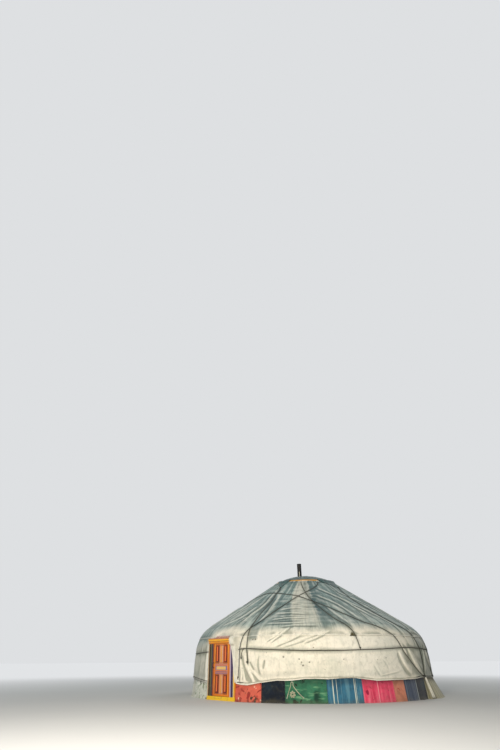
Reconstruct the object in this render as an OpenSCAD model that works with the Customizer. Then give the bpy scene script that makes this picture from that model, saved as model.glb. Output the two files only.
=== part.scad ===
// Yurt with a lattice wall, bent roof poles, a domed crown, felt and canvas covers
// The origin is on the ground at the centre, the door faces -Y and +Z is up

/* [Overall shape] */
// Radius of the outside of the canvas at the top of the wall
wall_r = 3745; // [3650:5:3850]
// How far the skirt cloths stand out beyond the wall where they meet the ground
skirt_out = 45; // [15:5:155]
// Height at which the wall starts to bend into the roof
spring_z = 1067; // [1000:1:1140]
// Radius of the rounded shoulder, measured on the canvas
shoulder_r = 900; // [850:10:950]
// Slope of the roof in degrees
roof_slope = 30.9; // [29:0.1:33]

/* [Covers] */
// Thickness of the canvas
canvas_t = 8; // [6:1:9]
// Thickness of the felt
felt_t = 28; // [20:1:34]
// Clearance between two layers of cloth
layer_gap = 0.4; // [0.3:0.1:1]
// Height of the canvas hem above the ground
hem_z = 470; // [400:10:540]
// Width of the lap of the wall canvas under the roof canvas, in degrees of the shoulder
lap_angle = 8; // [5:1:12]
// Angle up the shoulder where the hem of the roof canvas lies
roof_hem_angle = 28; // [22:1:34]
// Number of felt sheets round the wall
wall_felts = 8; // [8:1:8]
// Number of felt sheets on the roof
roof_felts = 4; // [4:1:4]

/* [Door] */
// Width of the door frame
frame_w = 1180; // [1120:10:1240]
// Height of the door frame
frame_h = 1480; // [1440:10:1520]
// How far the front face of the door frame stands out beyond the wall
frame_out = 25; // [15:1:35]
// Clear width between the jambs at the front
opening_w = 722; // [700:2:760]
// Height of the threshold
threshold_h = 90; // [70:5:120]
// Height of the lintel
lintel_h = 140; // [120:5:170]
// Thickness of the door leaf
leaf_t = 40; // [36:1:42]
// Clearance round the door leaf
leaf_gap = 8; // [6:1:10]
// How far the leaf sits behind the front of the frame
leaf_recess = 8; // [6:1:12]
// Depth of the strip that stops the leaf
stop_w = 22; // [16:1:26]
// Radius of the wooden pivot pins
pin_r = 12; // [10:1:14]
// Clearance of a pin in its socket
pin_gap = 0.1; // [0.05:0.01:0.2]
// Length of a pin in its socket
pin_len = 30; // [24:1:40]

/* [Lattice wall] */
// Number of lattice sections
lattice_count = 6; // [6:1:6]
// Diamonds in one section
section_diamonds = 10; // [10:1:10]
// Diamonds from the ground to the heads
lattice_rows = 3; // [3:1:3]
// Width of a lath
lath_w = 32; // [26:1:38]
// Thickness of a lath
lath_t = 13; // [11:1:16]
// Depth by which crossing laths are let into each other
lath_notch = 2; // [1:0.5:4]
// Height of the lowest crossing
foot_z = 75; // [70:1:90]
// Height of the highest crossing
head_z = 1035; // [1000:5:1040]
// How far the ends of the laths run past the last crossing
lath_end = 45; // [30:1:46]

/* [Roof poles] */
// Diameter of a roof pole
pole_d = 36; // [30:1:40]
// Diameter of the tip of a roof pole
tip_d = 24; // [20:1:28]
// Bend radius of a roof pole
pole_bend = 820; // [795:5:835]
// Length of the straight foot below the bend
pole_foot = 130; // [100:5:160]
// Clearance between a pole and what it rests on
pole_gap = 0.3; // [0.2:0.1:0.6]

/* [Crown] */
// Outer radius of the crown ring
crown_r = 1040; // [1000:5:1080]
// Width of the crown ring
crown_w = 84; // [70:1:95]
// Height of the crown ring
crown_h = 140; // [120:5:150]
// Depth of the sockets for the pole tips
socket_depth = 55; // [40:1:60]
// Rise of the domed spokes above the ring
dome_rise = 215; // [160:5:260]
// Width of a spoke
spoke_w = 40; // [30:1:46]
// Thickness of a spoke
spoke_t = 28; // [22:1:34]
// Distance between neighbouring spokes
spoke_step = 240; // [220:5:260]
// Distance from the centre to the four corners of the cloth over the crown
cover_r = 1480; // [1450:5:1500]
// Distance from the centre to the middle of its edges, which are pulled in
cover_waist = 985; // [970:5:1010]

/* [Stove pipe] */
// Outer diameter of the stove pipe
pipe_d = 150; // [120:5:160]
// Wall thickness of the stove pipe
pipe_t = 2; // [1.5:0.5:4]
// Height of the top of the stove pipe above the crown ring
pipe_rise = 656; // [566:10:766]
// Length of the stove pipe from its top down to its lower end
pipe_len = 790; // [740:10:890]

/* [Ropes] */
// Diameter of the ropes
rope_d = 16; // [12:1:20]

/* [Hidden] */
$fn = 96;

// Foot of the skirt and front of the door frame
base_r = wall_r + skirt_out;
frame_front = wall_r + frame_out;

// Depths of the layers below the outside of the roof canvas
wall_canvas_in = canvas_t + layer_gap;
felt_in = 2 * (canvas_t + layer_gap);
felt_back = felt_in + felt_t;
pole_axis_in = felt_back + pole_gap + pole_d / 2;

// Lattice
lath_bow = 3;
lattice_out = wall_r - felt_back - layer_gap - lath_bow;
lattice_mid = lattice_out - lath_t;
lattice_in = lattice_out - 2 * lath_t + lath_notch;
diamond_count = lattice_count * section_diamonds;
door_angle = asin((frame_w / 2 - 20) / lattice_out);
pitch = (360 - 2 * door_angle) / diamond_count;
half_row = (head_z - foot_z) / (2 * lattice_rows);

// Door frame
frame_depth = frame_front - lattice_out * cos(door_angle) - 0.3;
frame_back = frame_front - frame_depth;
jamb_w = (frame_w - opening_w) / 2;
leaf_w = opening_w - 2 * leaf_gap;
leaf_z0 = threshold_h + leaf_gap;
leaf_z1 = frame_h - lintel_h - leaf_gap;
leaf_h = leaf_z1 - leaf_z0;
leaf_front = frame_front - leaf_recess;
pivot_x = opening_w / 2 - leaf_gap - leaf_t / 2;
pivot_y = -(leaf_front - leaf_t / 2);
stop_y = leaf_front - leaf_t - leaf_gap;
seat_gap = 0.4;
function beside_door(r) = asin((frame_w / 2 + seat_gap) / r);

// Shoulder and roof line
arc_r = wall_r - shoulder_r;
arc_end = 90 - roof_slope;
felt_joint = 45;
shoulder_steps = 12;
shoulder_step = arc_end / shoulder_steps;

// Ledge behind the lintel that carries the poles over the door
ledge_w = frame_w - 200;
ledge_h = 45;
ledge_d = 130;

// Crown
roof_z_at_crown = arc_point(arc_end, 0)[1] + (arc_point(arc_end, 0)[0] - crown_r) * tan(roof_slope);
crown_top = roof_z_at_crown + 38;
crown_bottom = crown_top - crown_h;
crown_in = crown_r - crown_w;
dome_base = crown_top - spoke_t;
dome_r = (pow(crown_in, 2) + pow(dome_rise, 2)) / (2 * dome_rise);
dome_z = dome_base + dome_rise - dome_r;
pipe_x = -spoke_step / 2;
pipe_y = -spoke_step / 2;
pipe_top = crown_top + pipe_rise;
pipe_bottom = pipe_top - pipe_len;
roof_open = crown_r + 85;

// Pole geometry in its own vertical plane
pole_r = lattice_in - pole_gap - pole_d / 2;
line_p = arc_point(arc_end, pole_axis_in);
corner_z = line_p[1] - (pole_r - line_p[0]) * tan(roof_slope);
pole_tangent = pole_bend * tan(arc_end / 2);
pole_spring_z = corner_z - pole_tangent;
pole_bend_end = [pole_r - pole_tangent * cos(roof_slope), corner_z + pole_tangent * sin(roof_slope)];
pole_run = (pole_bend_end[0] - crown_r) / cos(roof_slope);

// Point on the shoulder at an angle, a given depth below the roof canvas
function arc_point(angle, depth) =
  [arc_r + (shoulder_r - depth) * cos(angle), spring_z + (shoulder_r - depth) * sin(angle)];

// The shoulder is made of flat steps; point on a step at an angle
function step_point(angle, depth) =
  let (k = floor(angle / shoulder_step), part = angle / shoulder_step - k)
    (1 - part) * arc_point(k * shoulder_step, depth) + part * arc_point((k + 1) * shoulder_step, depth);

// Radius of the outside of the wall at a height
function wall_at(z) = wall_r + (base_r - wall_r) * max(0, 1 - z / spring_z);

// Points of a wall profile from a height up to an angle on the shoulder
function wall_line(z0, angle, depth, lean) = concat(
  [[(lean ? wall_at(z0) : wall_r) - depth, z0]],
  [for (k = [0 : ceil(angle / shoulder_step) - 1]) arc_point(k * shoulder_step, depth)],
  [step_point(angle, depth)]);

// Points of a roof profile from an angle on the shoulder to a radius near the crown
function roof_line(angle, r_end, depth) = concat(
  [step_point(angle, depth)],
  [for (k = [floor(angle / shoulder_step) + 1 : shoulder_steps]) arc_point(k * shoulder_step, depth)],
  [roof_point(r_end, depth)]);

// Point on the straight roof at a radius
function roof_point(r, depth) =
  let (p = arc_point(arc_end, depth)) [r, p[1] + (p[0] - r) * tan(roof_slope)];

function reversed(list) = [for (i = [len(list) - 1 : -1 : 0]) list[i]];

// A part of a turn that starts at an angle from the door, counted to the right seen from above
module turned(start, end) {
  rotate([0, 0, start - 90]) rotate_extrude(angle = end - start, $fn = 360) children();
}

module shell_profile(outer, inner) {
  polygon(concat(outer, reversed(inner)));
}

// Door

module threshold() {
  color("gold") difference() {
    translate([-frame_w / 2, -frame_front - 12, 0]) cube([frame_w, frame_depth + 12, threshold_h]);
    translate([pivot_x, pivot_y, threshold_h - pin_len - leaf_gap]) cylinder(r = pin_r + pin_gap, h = pin_len * 2);
  }
}

module lintel() {
  z0 = frame_h - lintel_h;
  color("goldenrod") difference() {
    union() {
      translate([-frame_w / 2, -frame_back, z0]) rotate([90, 0, 90])
        linear_extrude(height = frame_w)
          polygon([[0, 0], [-frame_depth, 0], [-frame_depth, 55], [-frame_depth - 14, 70],
            [-frame_depth - 14, lintel_h - 20], [-frame_depth - 4, lintel_h], [0, lintel_h]]);
      translate([-ledge_w / 2, -frame_back - 1, ledge_top - ledge_h]) cube([ledge_w, ledge_d, ledge_h]);
    }
    translate([pivot_x, pivot_y, z0 - 1]) cylinder(r = pin_r + pin_gap, h = pin_len + leaf_gap + 1);
  }
}

// Plan of the right jamb, from the opening outwards
module jamb_plan() {
  inner = opening_w / 2;
  outer = frame_w / 2;
  polygon([[inner, -frame_front], [inner + 62, -frame_front], [inner + 68, -frame_front + 14],
    [outer - 74, -frame_front + 14], [outer - 68, -frame_front], [outer, -frame_front],
    [outer, -frame_back], [inner - stop_w, -frame_back], [inner - stop_w, -stop_y], [inner, -stop_y]]);
}

module jamb() {
  translate([0, 0, threshold_h]) linear_extrude(height = frame_h - lintel_h - threshold_h) jamb_plan();
}

module right_jamb() {
  color("mediumpurple") jamb();
}

module left_jamb() {
  color("darkkhaki") mirror([1, 0, 0]) jamb();
}

// Fields of the leaf: centre x, centre z, width, height
stile = 62;
mid_rail_z = 640;
mid_rail_h = 190;
field_w = 148;
field_x = 180;
upper_z0 = mid_rail_z + mid_rail_h + 38;
upper_h = leaf_z1 - 30 - upper_z0;
lower_z0 = leaf_z0 + 55;
lower_h = mid_rail_z - 45 - lower_z0;
field_depth = 9;
fields = [
  [-field_x, upper_z0 + upper_h / 2, field_w, upper_h], [field_x, upper_z0 + upper_h / 2, field_w, upper_h],
  [0, upper_z0 + upper_h / 2, field_w, upper_h],
  [-field_x, lower_z0 + lower_h / 2, field_w, lower_h], [field_x, lower_z0 + lower_h / 2, field_w, lower_h],
  [0, lower_z0 + lower_h / 2, field_w, lower_h],
  [0, mid_rail_z + mid_rail_h / 2, 2 * field_x + field_w, mid_rail_h]];

// Battens across the back of the leaf
batten_z = [260, 690, 1120];
batten_w = 580;
batten_t = 20;
batten_h = 85;

module door_leaf() {
  back = leaf_front - leaf_t;
  color("orangered") difference() {
    union() {
      translate([-leaf_w / 2, -leaf_front, leaf_z0]) cube([leaf_w / 2 + pivot_x, leaf_t, leaf_h]);
      translate([pivot_x, pivot_y, leaf_z0]) cylinder(r = leaf_t / 2, h = leaf_h);
      translate([pivot_x, pivot_y, leaf_z0 - pin_len]) cylinder(r = pin_r, h = leaf_h + 2 * pin_len);
      for (z = batten_z) translate([-batten_w / 2, -back - 1, z]) cube([batten_w, batten_t + 1, batten_h]);
    }
    for (f = fields) translate([f[0] - f[2] / 2, -leaf_front - 1, f[1] - f[3] / 2])
      cube([f[2], field_depth + 1, f[3]]);
  }
}

module raised_panel(w, h) {
  margin = 10;
  step = 16;
  translate([-w / 2 + margin, -6, -h / 2 + margin]) cube([w - 2 * margin, 6, h - 2 * margin]);
  translate([-w / 2 + margin + step, -12, -h / 2 + margin + step])
    cube([w - 2 * (margin + step), 12, h - 2 * (margin + step)]);
}

module fluted_strip(w, h) {
  margin = 8;
  flutes = 5;
  pitch_f = (w - 2 * margin) / flutes;
  difference() {
    translate([-w / 2 + margin, -12, -h / 2 + margin]) cube([w - 2 * margin, 12, h - 2 * margin]);
    for (i = [0 : flutes - 1]) translate([-w / 2 + margin + pitch_f * (i + 0.5), -12, -h / 2 + 2.5 * margin])
      cylinder(r = pitch_f * 0.32, h = h - 5 * margin, $fn = 24);
  }
}

module door_panels() {
  face = leaf_front - field_depth;
  color("red") for (i = [0, 1, 3, 4]) translate([fields[i][0], -face, fields[i][1]])
    raised_panel(fields[i][2], fields[i][3]);
  color("khaki") for (i = [2, 5]) translate([fields[i][0], -face, fields[i][1]])
    fluted_strip(fields[i][2], fields[i][3]);
  color("goldenrod") translate([fields[6][0], -face, fields[6][1]]) raised_panel(fields[6][2], fields[6][3]);
}

module door_handle() {
  x = -leaf_w / 2 + stile / 2 - 4;
  z = mid_rail_z + mid_rail_h - 20;
  rise = 60;
  color("dimgray") {
    for (s = [-1, 1]) translate([x, -leaf_front, z + s * rise]) rotate([90, 0, 0]) cylinder(r = 18, h = 4);
    translate([x, -leaf_front - 3, z]) rotate([0, -90, 0]) rotate([0, 0, 180])
      rotate_extrude(angle = 180) translate([rise, 0]) circle(r = 6, $fn = 24);
  }
}

// Lattice wall

// A straight length of lath between two angles and heights, on a cylinder
module lath(r_face, a0, z0, a1, z1, clip0, clip1) {
  half = (a1 - a0) / 2;
  depth = r_face * cos(half);
  w = r_face * sin(half);
  rise = lath_w / 2 * sqrt(1 + pow((z1 - z0) / (2 * w), 2));
  slope = (z1 - z0) / (2 * w);
  x0 = -w + clip0;
  x1 = w - clip1;
  za = (z0 + z1) / 2 + slope * x0;
  zb = (z0 + z1) / 2 + slope * x1;
  rotate([0, 0, (a0 + a1) / 2]) translate([0, -depth, 0]) rotate([90, 0, 0])
    linear_extrude(height = lath_t)
      polygon([[x0, za - rise], [x1, zb - rise], [x1, zb + rise], [x0, za + rise]]);
}

module lattice(section) {
  start = door_angle + section * section_diamonds * pitch;
  bite = 1.2;
  color("sienna") for (i = [0 : section_diamonds - 1]) for (k = [0 : lattice_rows - 1]) {
    a0 = start + i * pitch;
    z0 = foot_z + k * 2 * half_row;
    left = i == 0;
    right = i == section_diamonds - 1;
    up0 = k == 0 && !left ? -lath_end : (left ? 0.2 : -bite);
    up1 = k == lattice_rows - 1 && !right ? -lath_end : (right ? 0.2 : -bite);
    down0 = k == lattice_rows - 1 && !left ? -lath_end : (left ? 0.2 : -bite);
    down1 = k == 0 && !right ? -lath_end : (right ? 0.2 : -bite);
    lath(lattice_in, a0, z0, a0 + pitch, z0 + 2 * half_row, up0, up1);
    lath(lattice_mid, a0, z0 + 2 * half_row, a0 + pitch, z0, down0, down1);
  }
}

// Roof poles

// A bent pole; one with no foot starts part of the way round its bend, on the ledge of the lintel
module pole(bend_start) {
  centre = [pole_r - pole_bend, pole_spring_z];
  scarf = 3;
  rotate([0, 0, -90]) {
    if (bend_start == 0) translate([pole_r, 0, pole_spring_z - pole_foot])
      cylinder(d = pole_d - 1, h = pole_foot + scarf, $fn = 32);
    translate([centre[0], 0, centre[1]]) rotate([90, 0, 0]) rotate([0, 0, bend_start])
      rotate_extrude(angle = arc_end - bend_start, $fn = 180) translate([pole_bend, 0])
        circle(d = pole_d, $fn = 32);
    translate([pole_bend_end[0], 0, pole_bend_end[1]]) rotate([0, -arc_end, 0]) translate([0, 0, -scarf])
      cylinder(d1 = pole_d - 1, d2 = tip_d, h = pole_run + scarf + socket_depth, $fn = 32);
  }
}

function pole_angle(i) = i <= diamond_count - 2 ? door_angle + (i + 1) * pitch
  : [-door_angle, -door_angle / 3, door_angle / 3, door_angle][i - diamond_count + 1];
pole_total = diamond_count + 3;
function over_door(i) = i == diamond_count || i == diamond_count + 1;
ledge_top = frame_h - 20;
ledge_rise = ledge_top + seat_gap - pole_spring_z;
ledge_bend = asin((ledge_rise + pole_d / 2 * ledge_rise / pole_bend) / pole_bend);

module poles(first, last) {
  color("firebrick") for (i = [first : last]) rotate([0, 0, pole_angle(i)])
    pole(over_door(i) ? ledge_bend : 0);
}

// Crown

module crown_ring() {
  bevel = 18;
  color("orange") difference() {
    rotate_extrude($fn = 180) polygon([[crown_in, crown_bottom], [crown_r - bevel, crown_bottom],
      [crown_r, crown_bottom + bevel], [crown_r, crown_top - bevel], [crown_r - bevel, crown_top],
      [crown_in, crown_top]]);
    for (i = [0 : pole_total - 1]) rotate([0, 0, pole_angle(i) - 90])
      translate([pole_bend_end[0], 0, pole_bend_end[1]]) rotate([0, -arc_end, 0])
        translate([0, 0, pole_run - 60])
          cylinder(d = tip_d + 4 * pole_gap, h = socket_depth + 60 + pole_gap, $fn = 32);
  }
}

// One arched bar; an inset makes it thinner on both faces
module spoke(offset_y, inset) {
  r = sqrt(pow(dome_r, 2) - pow(offset_y, 2));
  half = asin(sqrt(pow(crown_in + 30, 2) - pow(offset_y, 2)) / r);
  translate([0, offset_y, dome_z]) rotate([90, 0, 0]) translate([0, 0, -spoke_w / 2])
    rotate([0, 0, 90 - half]) rotate_extrude(angle = half * 2, $fn = 180)
      translate([r + inset, 0]) square([spoke_t - 2 * inset, spoke_w]);
}

module crown_spokes() {
  let_in = 5;
  color("orange") intersection() {
    union() {
      for (k = [-1, 0, 1]) spoke(k * spoke_step, 0);
      rotate([0, 0, 90]) for (k = [-1, 0, 1]) spoke(k * spoke_step, let_in);
    }
    cylinder(r = crown_in - 0.3, h = crown_top + dome_rise + 100);
  }
}

// Outline of the cloth over the crown, a given distance above the spokes and the roof
cover_lift = 4;
function cover_line(lift) = concat(
  [for (i = [0 : 8]) let (r = crown_in * i / 8)
    [r, dome_z + sqrt(pow(dome_r + spoke_t + lift, 2) - r * r)]],
  [[crown_r - 10, crown_top + lift + 2], [crown_r + 2 + lift, crown_top - 12 + lift],
    [roof_open + lift, roof_point(roof_open + lift, 0)[1] + lift / cos(roof_slope)],
    [cover_r + 20, roof_point(cover_r + 20, 0)[1] + lift / cos(roof_slope)]]);

// A square cloth whose corners are pulled down by ropes
cover_corners = [7, 90, 187, 270];
function cover_outline(k) = let (a = cover_corners[k], b = k < 3 ? cover_corners[k + 1] : 367)
  [[cover_r * sin(a), -cover_r * cos(a)],
    for (m = [1 : 5]) let (t = a + (b - a) * m / 6, r = cover_waist + (cover_r - cover_waist) * pow(abs(m - 3) / 3, 2.4))
      [r * sin(t), -r * cos(t)]];

module crown_cover() {
  hole = pipe_d / 2 + 20;
  color("teal") difference() {
    intersection() {
      rotate_extrude($fn = 180) shell_profile(cover_line(cover_lift + canvas_t), cover_line(cover_lift));
      translate([0, 0, crown_bottom - 300]) linear_extrude(height = 1200)
        polygon([for (k = [0 : 3]) for (p = cover_outline(k)) p]);
    }
    translate([pipe_x, pipe_y, crown_bottom]) cylinder(r = hole, h = 1000);
  }
}

// Height of the middle of the dome under the spokes
dome_top = dome_z + dome_r;
plate_z = dome_top - 10;
sheet_t = 2;

// Sheet metal box between four spokes, with a round hole for the pipe
module pipe_plate() {
  side = spoke_step - spoke_w - 0.6;
  rim = 24;
  color("gray") difference() {
    translate([pipe_x - side / 2, pipe_y - side / 2, plate_z - rim]) cube([side, side, rim]);
    translate([pipe_x - side / 2 + sheet_t, pipe_y - side / 2 + sheet_t, plate_z - rim - 1])
      cube([side - 2 * sheet_t, side - 2 * sheet_t, rim - sheet_t + 1]);
    translate([pipe_x, pipe_y, plate_z - rim]) cylinder(d = pipe_d + 0.6, h = 2 * rim);
  }
}

// The pipe has a collar that rests on the plate
module stove_pipe() {
  collar_h = 3;
  collar_w = 14;
  color("black") difference() {
    union() {
      translate([pipe_x, pipe_y, pipe_bottom]) cylinder(d = pipe_d, h = pipe_top - pipe_bottom);
      translate([pipe_x, pipe_y, plate_z]) cylinder(d = pipe_d + 2 * collar_w, h = collar_h);
    }
    translate([pipe_x, pipe_y, pipe_bottom - 1]) cylinder(d = pipe_d - 2 * pipe_t, h = pipe_top - pipe_bottom + 2);
  }
}

// Felt and canvas

felt_start = beside_door(wall_r - felt_back);
wall_span = (360 - 2 * felt_start) / wall_felts;
seam_gap = 0.003;

module wall_felt(first, count) {
  color("linen") for (i = [first : first + count - 1])
    turned(felt_start + i * wall_span + seam_gap, felt_start + (i + 1) * wall_span - seam_gap)
      shell_profile(wall_line(0, felt_joint, felt_in, false), wall_line(0, felt_joint, felt_back, false));
}

// Felt between the lintel and the roof
module door_felt() {
  a0 = asin((frame_h + 2 - spring_z) / (shoulder_r - felt_back));
  function line(depth) = concat([step_point(a0, depth)],
    [for (k = [floor(a0 / shoulder_step) + 1 : ceil(felt_joint / shoulder_step) - 1]) arc_point(k * shoulder_step, depth)],
    [step_point(felt_joint, depth)]);
  color("linen") turned(-felt_start + 2 * seam_gap, felt_start - 2 * seam_gap)
    shell_profile(line(felt_in), line(felt_back));
}

// Rolled-up door curtain on the lintel
module door_roll() {
  d = 60;
  color("rosybrown") translate([-280, -(frame_front - 60), frame_h + seat_gap + d / 2]) rotate([0, 90, 0]) cylinder(d = d, h = 560);
}

module roof_felt(i) {
  crown_gap = 20;
  span = 360 / roof_felts;
  color("linen") turned(i * span + seam_gap, (i + 1) * span - seam_gap)
    shell_profile(roof_line(felt_joint + 0.03, crown_r + crown_gap, felt_in),
      roof_line(felt_joint + 0.03, crown_r + crown_gap, felt_back));
}

canvas_seam = 98;

module wall_canvas(start, end) {
  color("ivory") turned(start, end)
    shell_profile(wall_line(hem_z, roof_hem_angle + lap_angle, wall_canvas_in, true),
      wall_line(hem_z, roof_hem_angle + lap_angle, wall_canvas_in + canvas_t, true));
}

module roof_canvas() {
  color("honeydew") rotate_extrude($fn = 180)
    shell_profile(roof_line(roof_hem_angle, roof_open, 0), roof_line(roof_hem_angle, roof_open, canvas_t));
}

// Skirt cloths: a sheet that leans out from under the canvas hem to the ground
skirt_top = hem_z + 90;
skirt_t = 6;
skirt_in = wall_canvas_in + canvas_t + layer_gap;
skirt_start = beside_door(wall_at(skirt_top) - skirt_in - skirt_t);
function skirt_line(depth, flare) = [[base_r + flare - depth, 0], [wall_at(hem_z) - skirt_in - depth, hem_z],
  [wall_at(skirt_top) - skirt_in - depth, skirt_top]];

// One cloth; its lower edge may be pulled out along the ground
module skirt(start, end, flare = 0) {
  turned(start + seam_gap, end - seam_gap) shell_profile(skirt_line(0, flare), skirt_line(skirt_t, flare));
}

module skirts(spans) {
  for (s = spans) skirt(s[0], s[1]);
}

module skirt_white() {
  color("whitesmoke") {
    skirt(98, 104, 110);
    skirt(104, 121, 230);
    skirt(121, 130, 110);
    skirt(334, 360 - skirt_start);
  }
}

module skirt_red() { color("salmon") skirts([[skirt_start, 21.2], [142, 158], [262, 280]]); }
module skirt_navy() { color("navy") skirts([[21.2, 31], [82, 98], [190, 208]]); }
module skirt_green() { color("seagreen") skirts([[31, 47.2], [130, 142], [226, 246], [300, 318]]); }
module skirt_blue() { color("royalblue") skirts([[47.2, 61.4], [158, 176], [246, 262]]); }
module skirt_crimson() { color("crimson") skirts([[61.4, 75.8], [208, 226], [280, 300]]); }
module skirt_peach() { color("peachpuff") skirts([[75.8, 82], [176, 190], [318, 334]]); }

// Corner of the wall canvas, pulled down to the ground beside the seam
module canvas_tail() {
  lean = 1.5;
  top_z = hem_z + 20;
  top_r = hem_rope_r + rope_d / 2 + seat_gap;
  foot_r = base_r + 130;
  color("ivory") rotate([0, 0, canvas_seam + lean - 90]) rotate([90, 0, 0]) translate([0, 0, -60])
    linear_extrude(height = 120) polygon([[top_r, top_z], [top_r + canvas_t, top_z],
      [foot_r + canvas_t, 0], [foot_r, 0]]);
}

// Ropes

belly_z = 1170;
tie_z = hem_z + 22;
belly_rope_r = wall_at(belly_z) - wall_canvas_in + rope_d / 2 + seat_gap;
hem_rope_r = wall_at(tie_z) - wall_canvas_in + rope_d / 2 + seat_gap;

// A rope round the wall from one side of the door to the other
module ring_rope(r, z) {
  start = beside_door(r - rope_d / 2);
  color("dimgray") turned(start, 360 - start) translate([r, z]) circle(d = rope_d, $fn = 32);
}

module belly_rope() { ring_rope(belly_rope_r, belly_z); }
module hem_rope() { ring_rope(hem_rope_r, tie_z); }

// Points of a rope: on the crown ring, at a radius on the roof, at a height on the wall
function polar(r, a, z) = [r * sin(a), -r * cos(a), z];
rope_lift = rope_d / 2 + seat_gap;
function on_ring(a) = polar(crown_r + rope_lift, a, crown_top - 38);
roof_lift = rope_lift + 2.2;
function bend_at(r) = r < arc_point(arc_end, 0)[0] ? arc_end : acos(min(1, (r - arc_r) / shoulder_r));
function on_shoulder(a, bend) = let (q = arc_point(bend, -roof_lift)) polar(q[0], a, q[1]);
function on_roof(a, r, lift = roof_lift) = bend_at(r) == arc_end
  ? let (p = roof_point(r, 0)) polar(r + lift * sin(roof_slope), a, p[1] + lift * cos(roof_slope))
  : on_shoulder(a, bend_at(r));
function on_cloth_corner(a) = [for (r = [cover_r - 40, cover_r + 8]) on_roof(a, r, roof_lift + cover_lift + canvas_t)];
function off_wall(a, z, off) = polar(wall_at(z) - wall_canvas_in + off, a, z);
function on_wall(a, z) = off_wall(a, z, rope_d * 1.5 + 3 * seat_gap);

function unit(v) = v / norm(v);

// A swept rope: each point carries its own diameter as a fourth number
module tube(stops, sides = 8) {
  n = len(stops);
  points = [for (p = stops) [p[0], p[1], p[2]]];
  rings = [for (i = [0 : n - 1]) let (
      t = unit(points[min(i + 1, n - 1)] - points[max(i - 1, 0)]),
      out = unit([points[i][0], points[i][1], max(points[i][2] - spring_z, 0) * 1.2]),
      side = unit(cross(t, out)),
      up = cross(side, t))
    for (k = [0 : sides - 1])
      points[i] + stops[i][3] / 2 * (cos(k * 360 / sides) * side + sin(k * 360 / sides) * up)];
  faces = concat(
    [[for (k = [0 : sides - 1]) k]],
    [[for (k = [sides - 1 : -1 : 0]) (n - 1) * sides + k]],
    [for (i = [0 : n - 2]) for (k = [0 : sides - 1])
      [i * sides + k, (i + 1) * sides + k, (i + 1) * sides + (k + 1) % sides, i * sides + (k + 1) % sides]]);
  polyhedron(points = rings, faces = faces, convexity = 6);
}

// Routes of the ropes: angle and hundredths of the way out on the roof, angle and height on the wall
roof_a = [[60, 9.2], [55, 14.4], [48, 20.7], [41, 27.4], [35, 34.2], [31, 40.7], [27.5, 47.7], [22, 61.4],
  [18.5, 74.3], [16, 84.7], [13, 90.9], [11, 96.1]];
wall_a = [[10.4, 1170], [10.3, 930], [10.2, 700], [10.1, 540]];
wall_b_left = [[-68, 540], [-65, 1170]];
roof_b = [[-62.5, 96.1], [-61, 93.2], [-58, 87.2], [-50, 68.8], [-37, 50.3], [-29, 39.9], [-22, 31.8], [-13, 25.9],
  [-4, 24.4], [5, 25.1], [14, 27.4], [23, 30.3], [30, 32.9], [35.5, 35.9], [42.5, 42.1], [49, 49.2], [55, 56.9],
  [60.5, 66.2], [65.5, 75.4], [70, 84.3], [75, 88.7], [79.5, 93.2], [83, 96.9]];
wall_b_right = [[85, 1170], [87.5, 1000], [90.5, 830], [94, 660], [97.6, 540]];
roof_c = [[9, 18.6], [9.8, 28.1], [12, 41.4], [12.5, 56.2], [12.5, 68.8], [13.5, 83.5], [13.5, 90.2],
  [13.7, 95.4]];
wall_c = [[14.2, 1170], [14.8, 890]];
roof_e = [[87.5, 21.6], [85, 35.5], [86, 49.2], [88.5, 69.9], [91.5, 85], [95, 90.2], [98, 94.6]];
wall_e = [[100, 1170], [100.5, 800], [99.2, 545]];
roof_f = [[41, 26.2], [45, 41.8], [49, 54.7], [52.5, 67.7], [56, 80.6], [59, 88], [61, 93.2], [61.8, 96.5]];
wall_f = [[62.5, 1205]];

function out_at(share) = crown_r + (wall_r - crown_r) * share / 100;
function placed(list) = [for (p = list) [p[0], out_at(p[1])]];
function with_d(p) = [p[0], p[1], p[2], rope_d];
rope_step = 6.5;
bend_step = 80;
function steps(p, q) = let (bend = abs(bend_at(q[1]) - bend_at(p[1])))
  max(1, ceil(max(abs(q[0] - p[0]), bend) / rope_step), bend > 0 ? ceil(abs(q[1] - p[1]) / bend_step) : 1);
function between(list) = [for (i = [0 : len(list) - 1])
  let (p = list[i], q = list[min(i + 1, len(list) - 1)], n = steps(p, q))
    for (k = [0 : (i == len(list) - 1 ? 0 : n - 1)]) p + (q - p) * k / n];
function roof_points(list) = [for (p = between(list)) with_d(on_roof(p[0], p[1]))];

// Points over the shoulder, from the last point on the roof to the first on the wall
function shoulder_points(roof_end, wall_start) =
  let (b0 = bend_at(roof_end[1]), b1 = asin((wall_start[1] - spring_z) / shoulder_r), n = ceil((b0 - b1) / rope_step))
    [for (k = [1 : n - 1]) with_d(on_shoulder(roof_end[0] + (wall_start[0] - roof_end[0]) * k / n, b0 + (b1 - b0) * k / n))];
function wall_points(list) = [for (p = list) with_d(on_wall(p[0], p[1]))];

// A knot below the last point of a rope on the wall
knot_d = 2.2 * rope_d;
function knot_end(at) = let (off = rope_d + knot_d / 2 + 4 * seat_gap)
  [for (k = [[10, 1], [22, 2.2], [36, 2.2], [46, 0.9]])
    concat(off_wall(at[0], at[1] - k[0], off), [rope_d * k[1]])];

module rope(start, roof, wall) {
  way = placed(roof);
  tube(concat(start, roof_points(way), shoulder_points(way[len(way) - 1], wall[0]), wall_points(wall),
    knot_end(wall[len(wall) - 1])));
}

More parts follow.
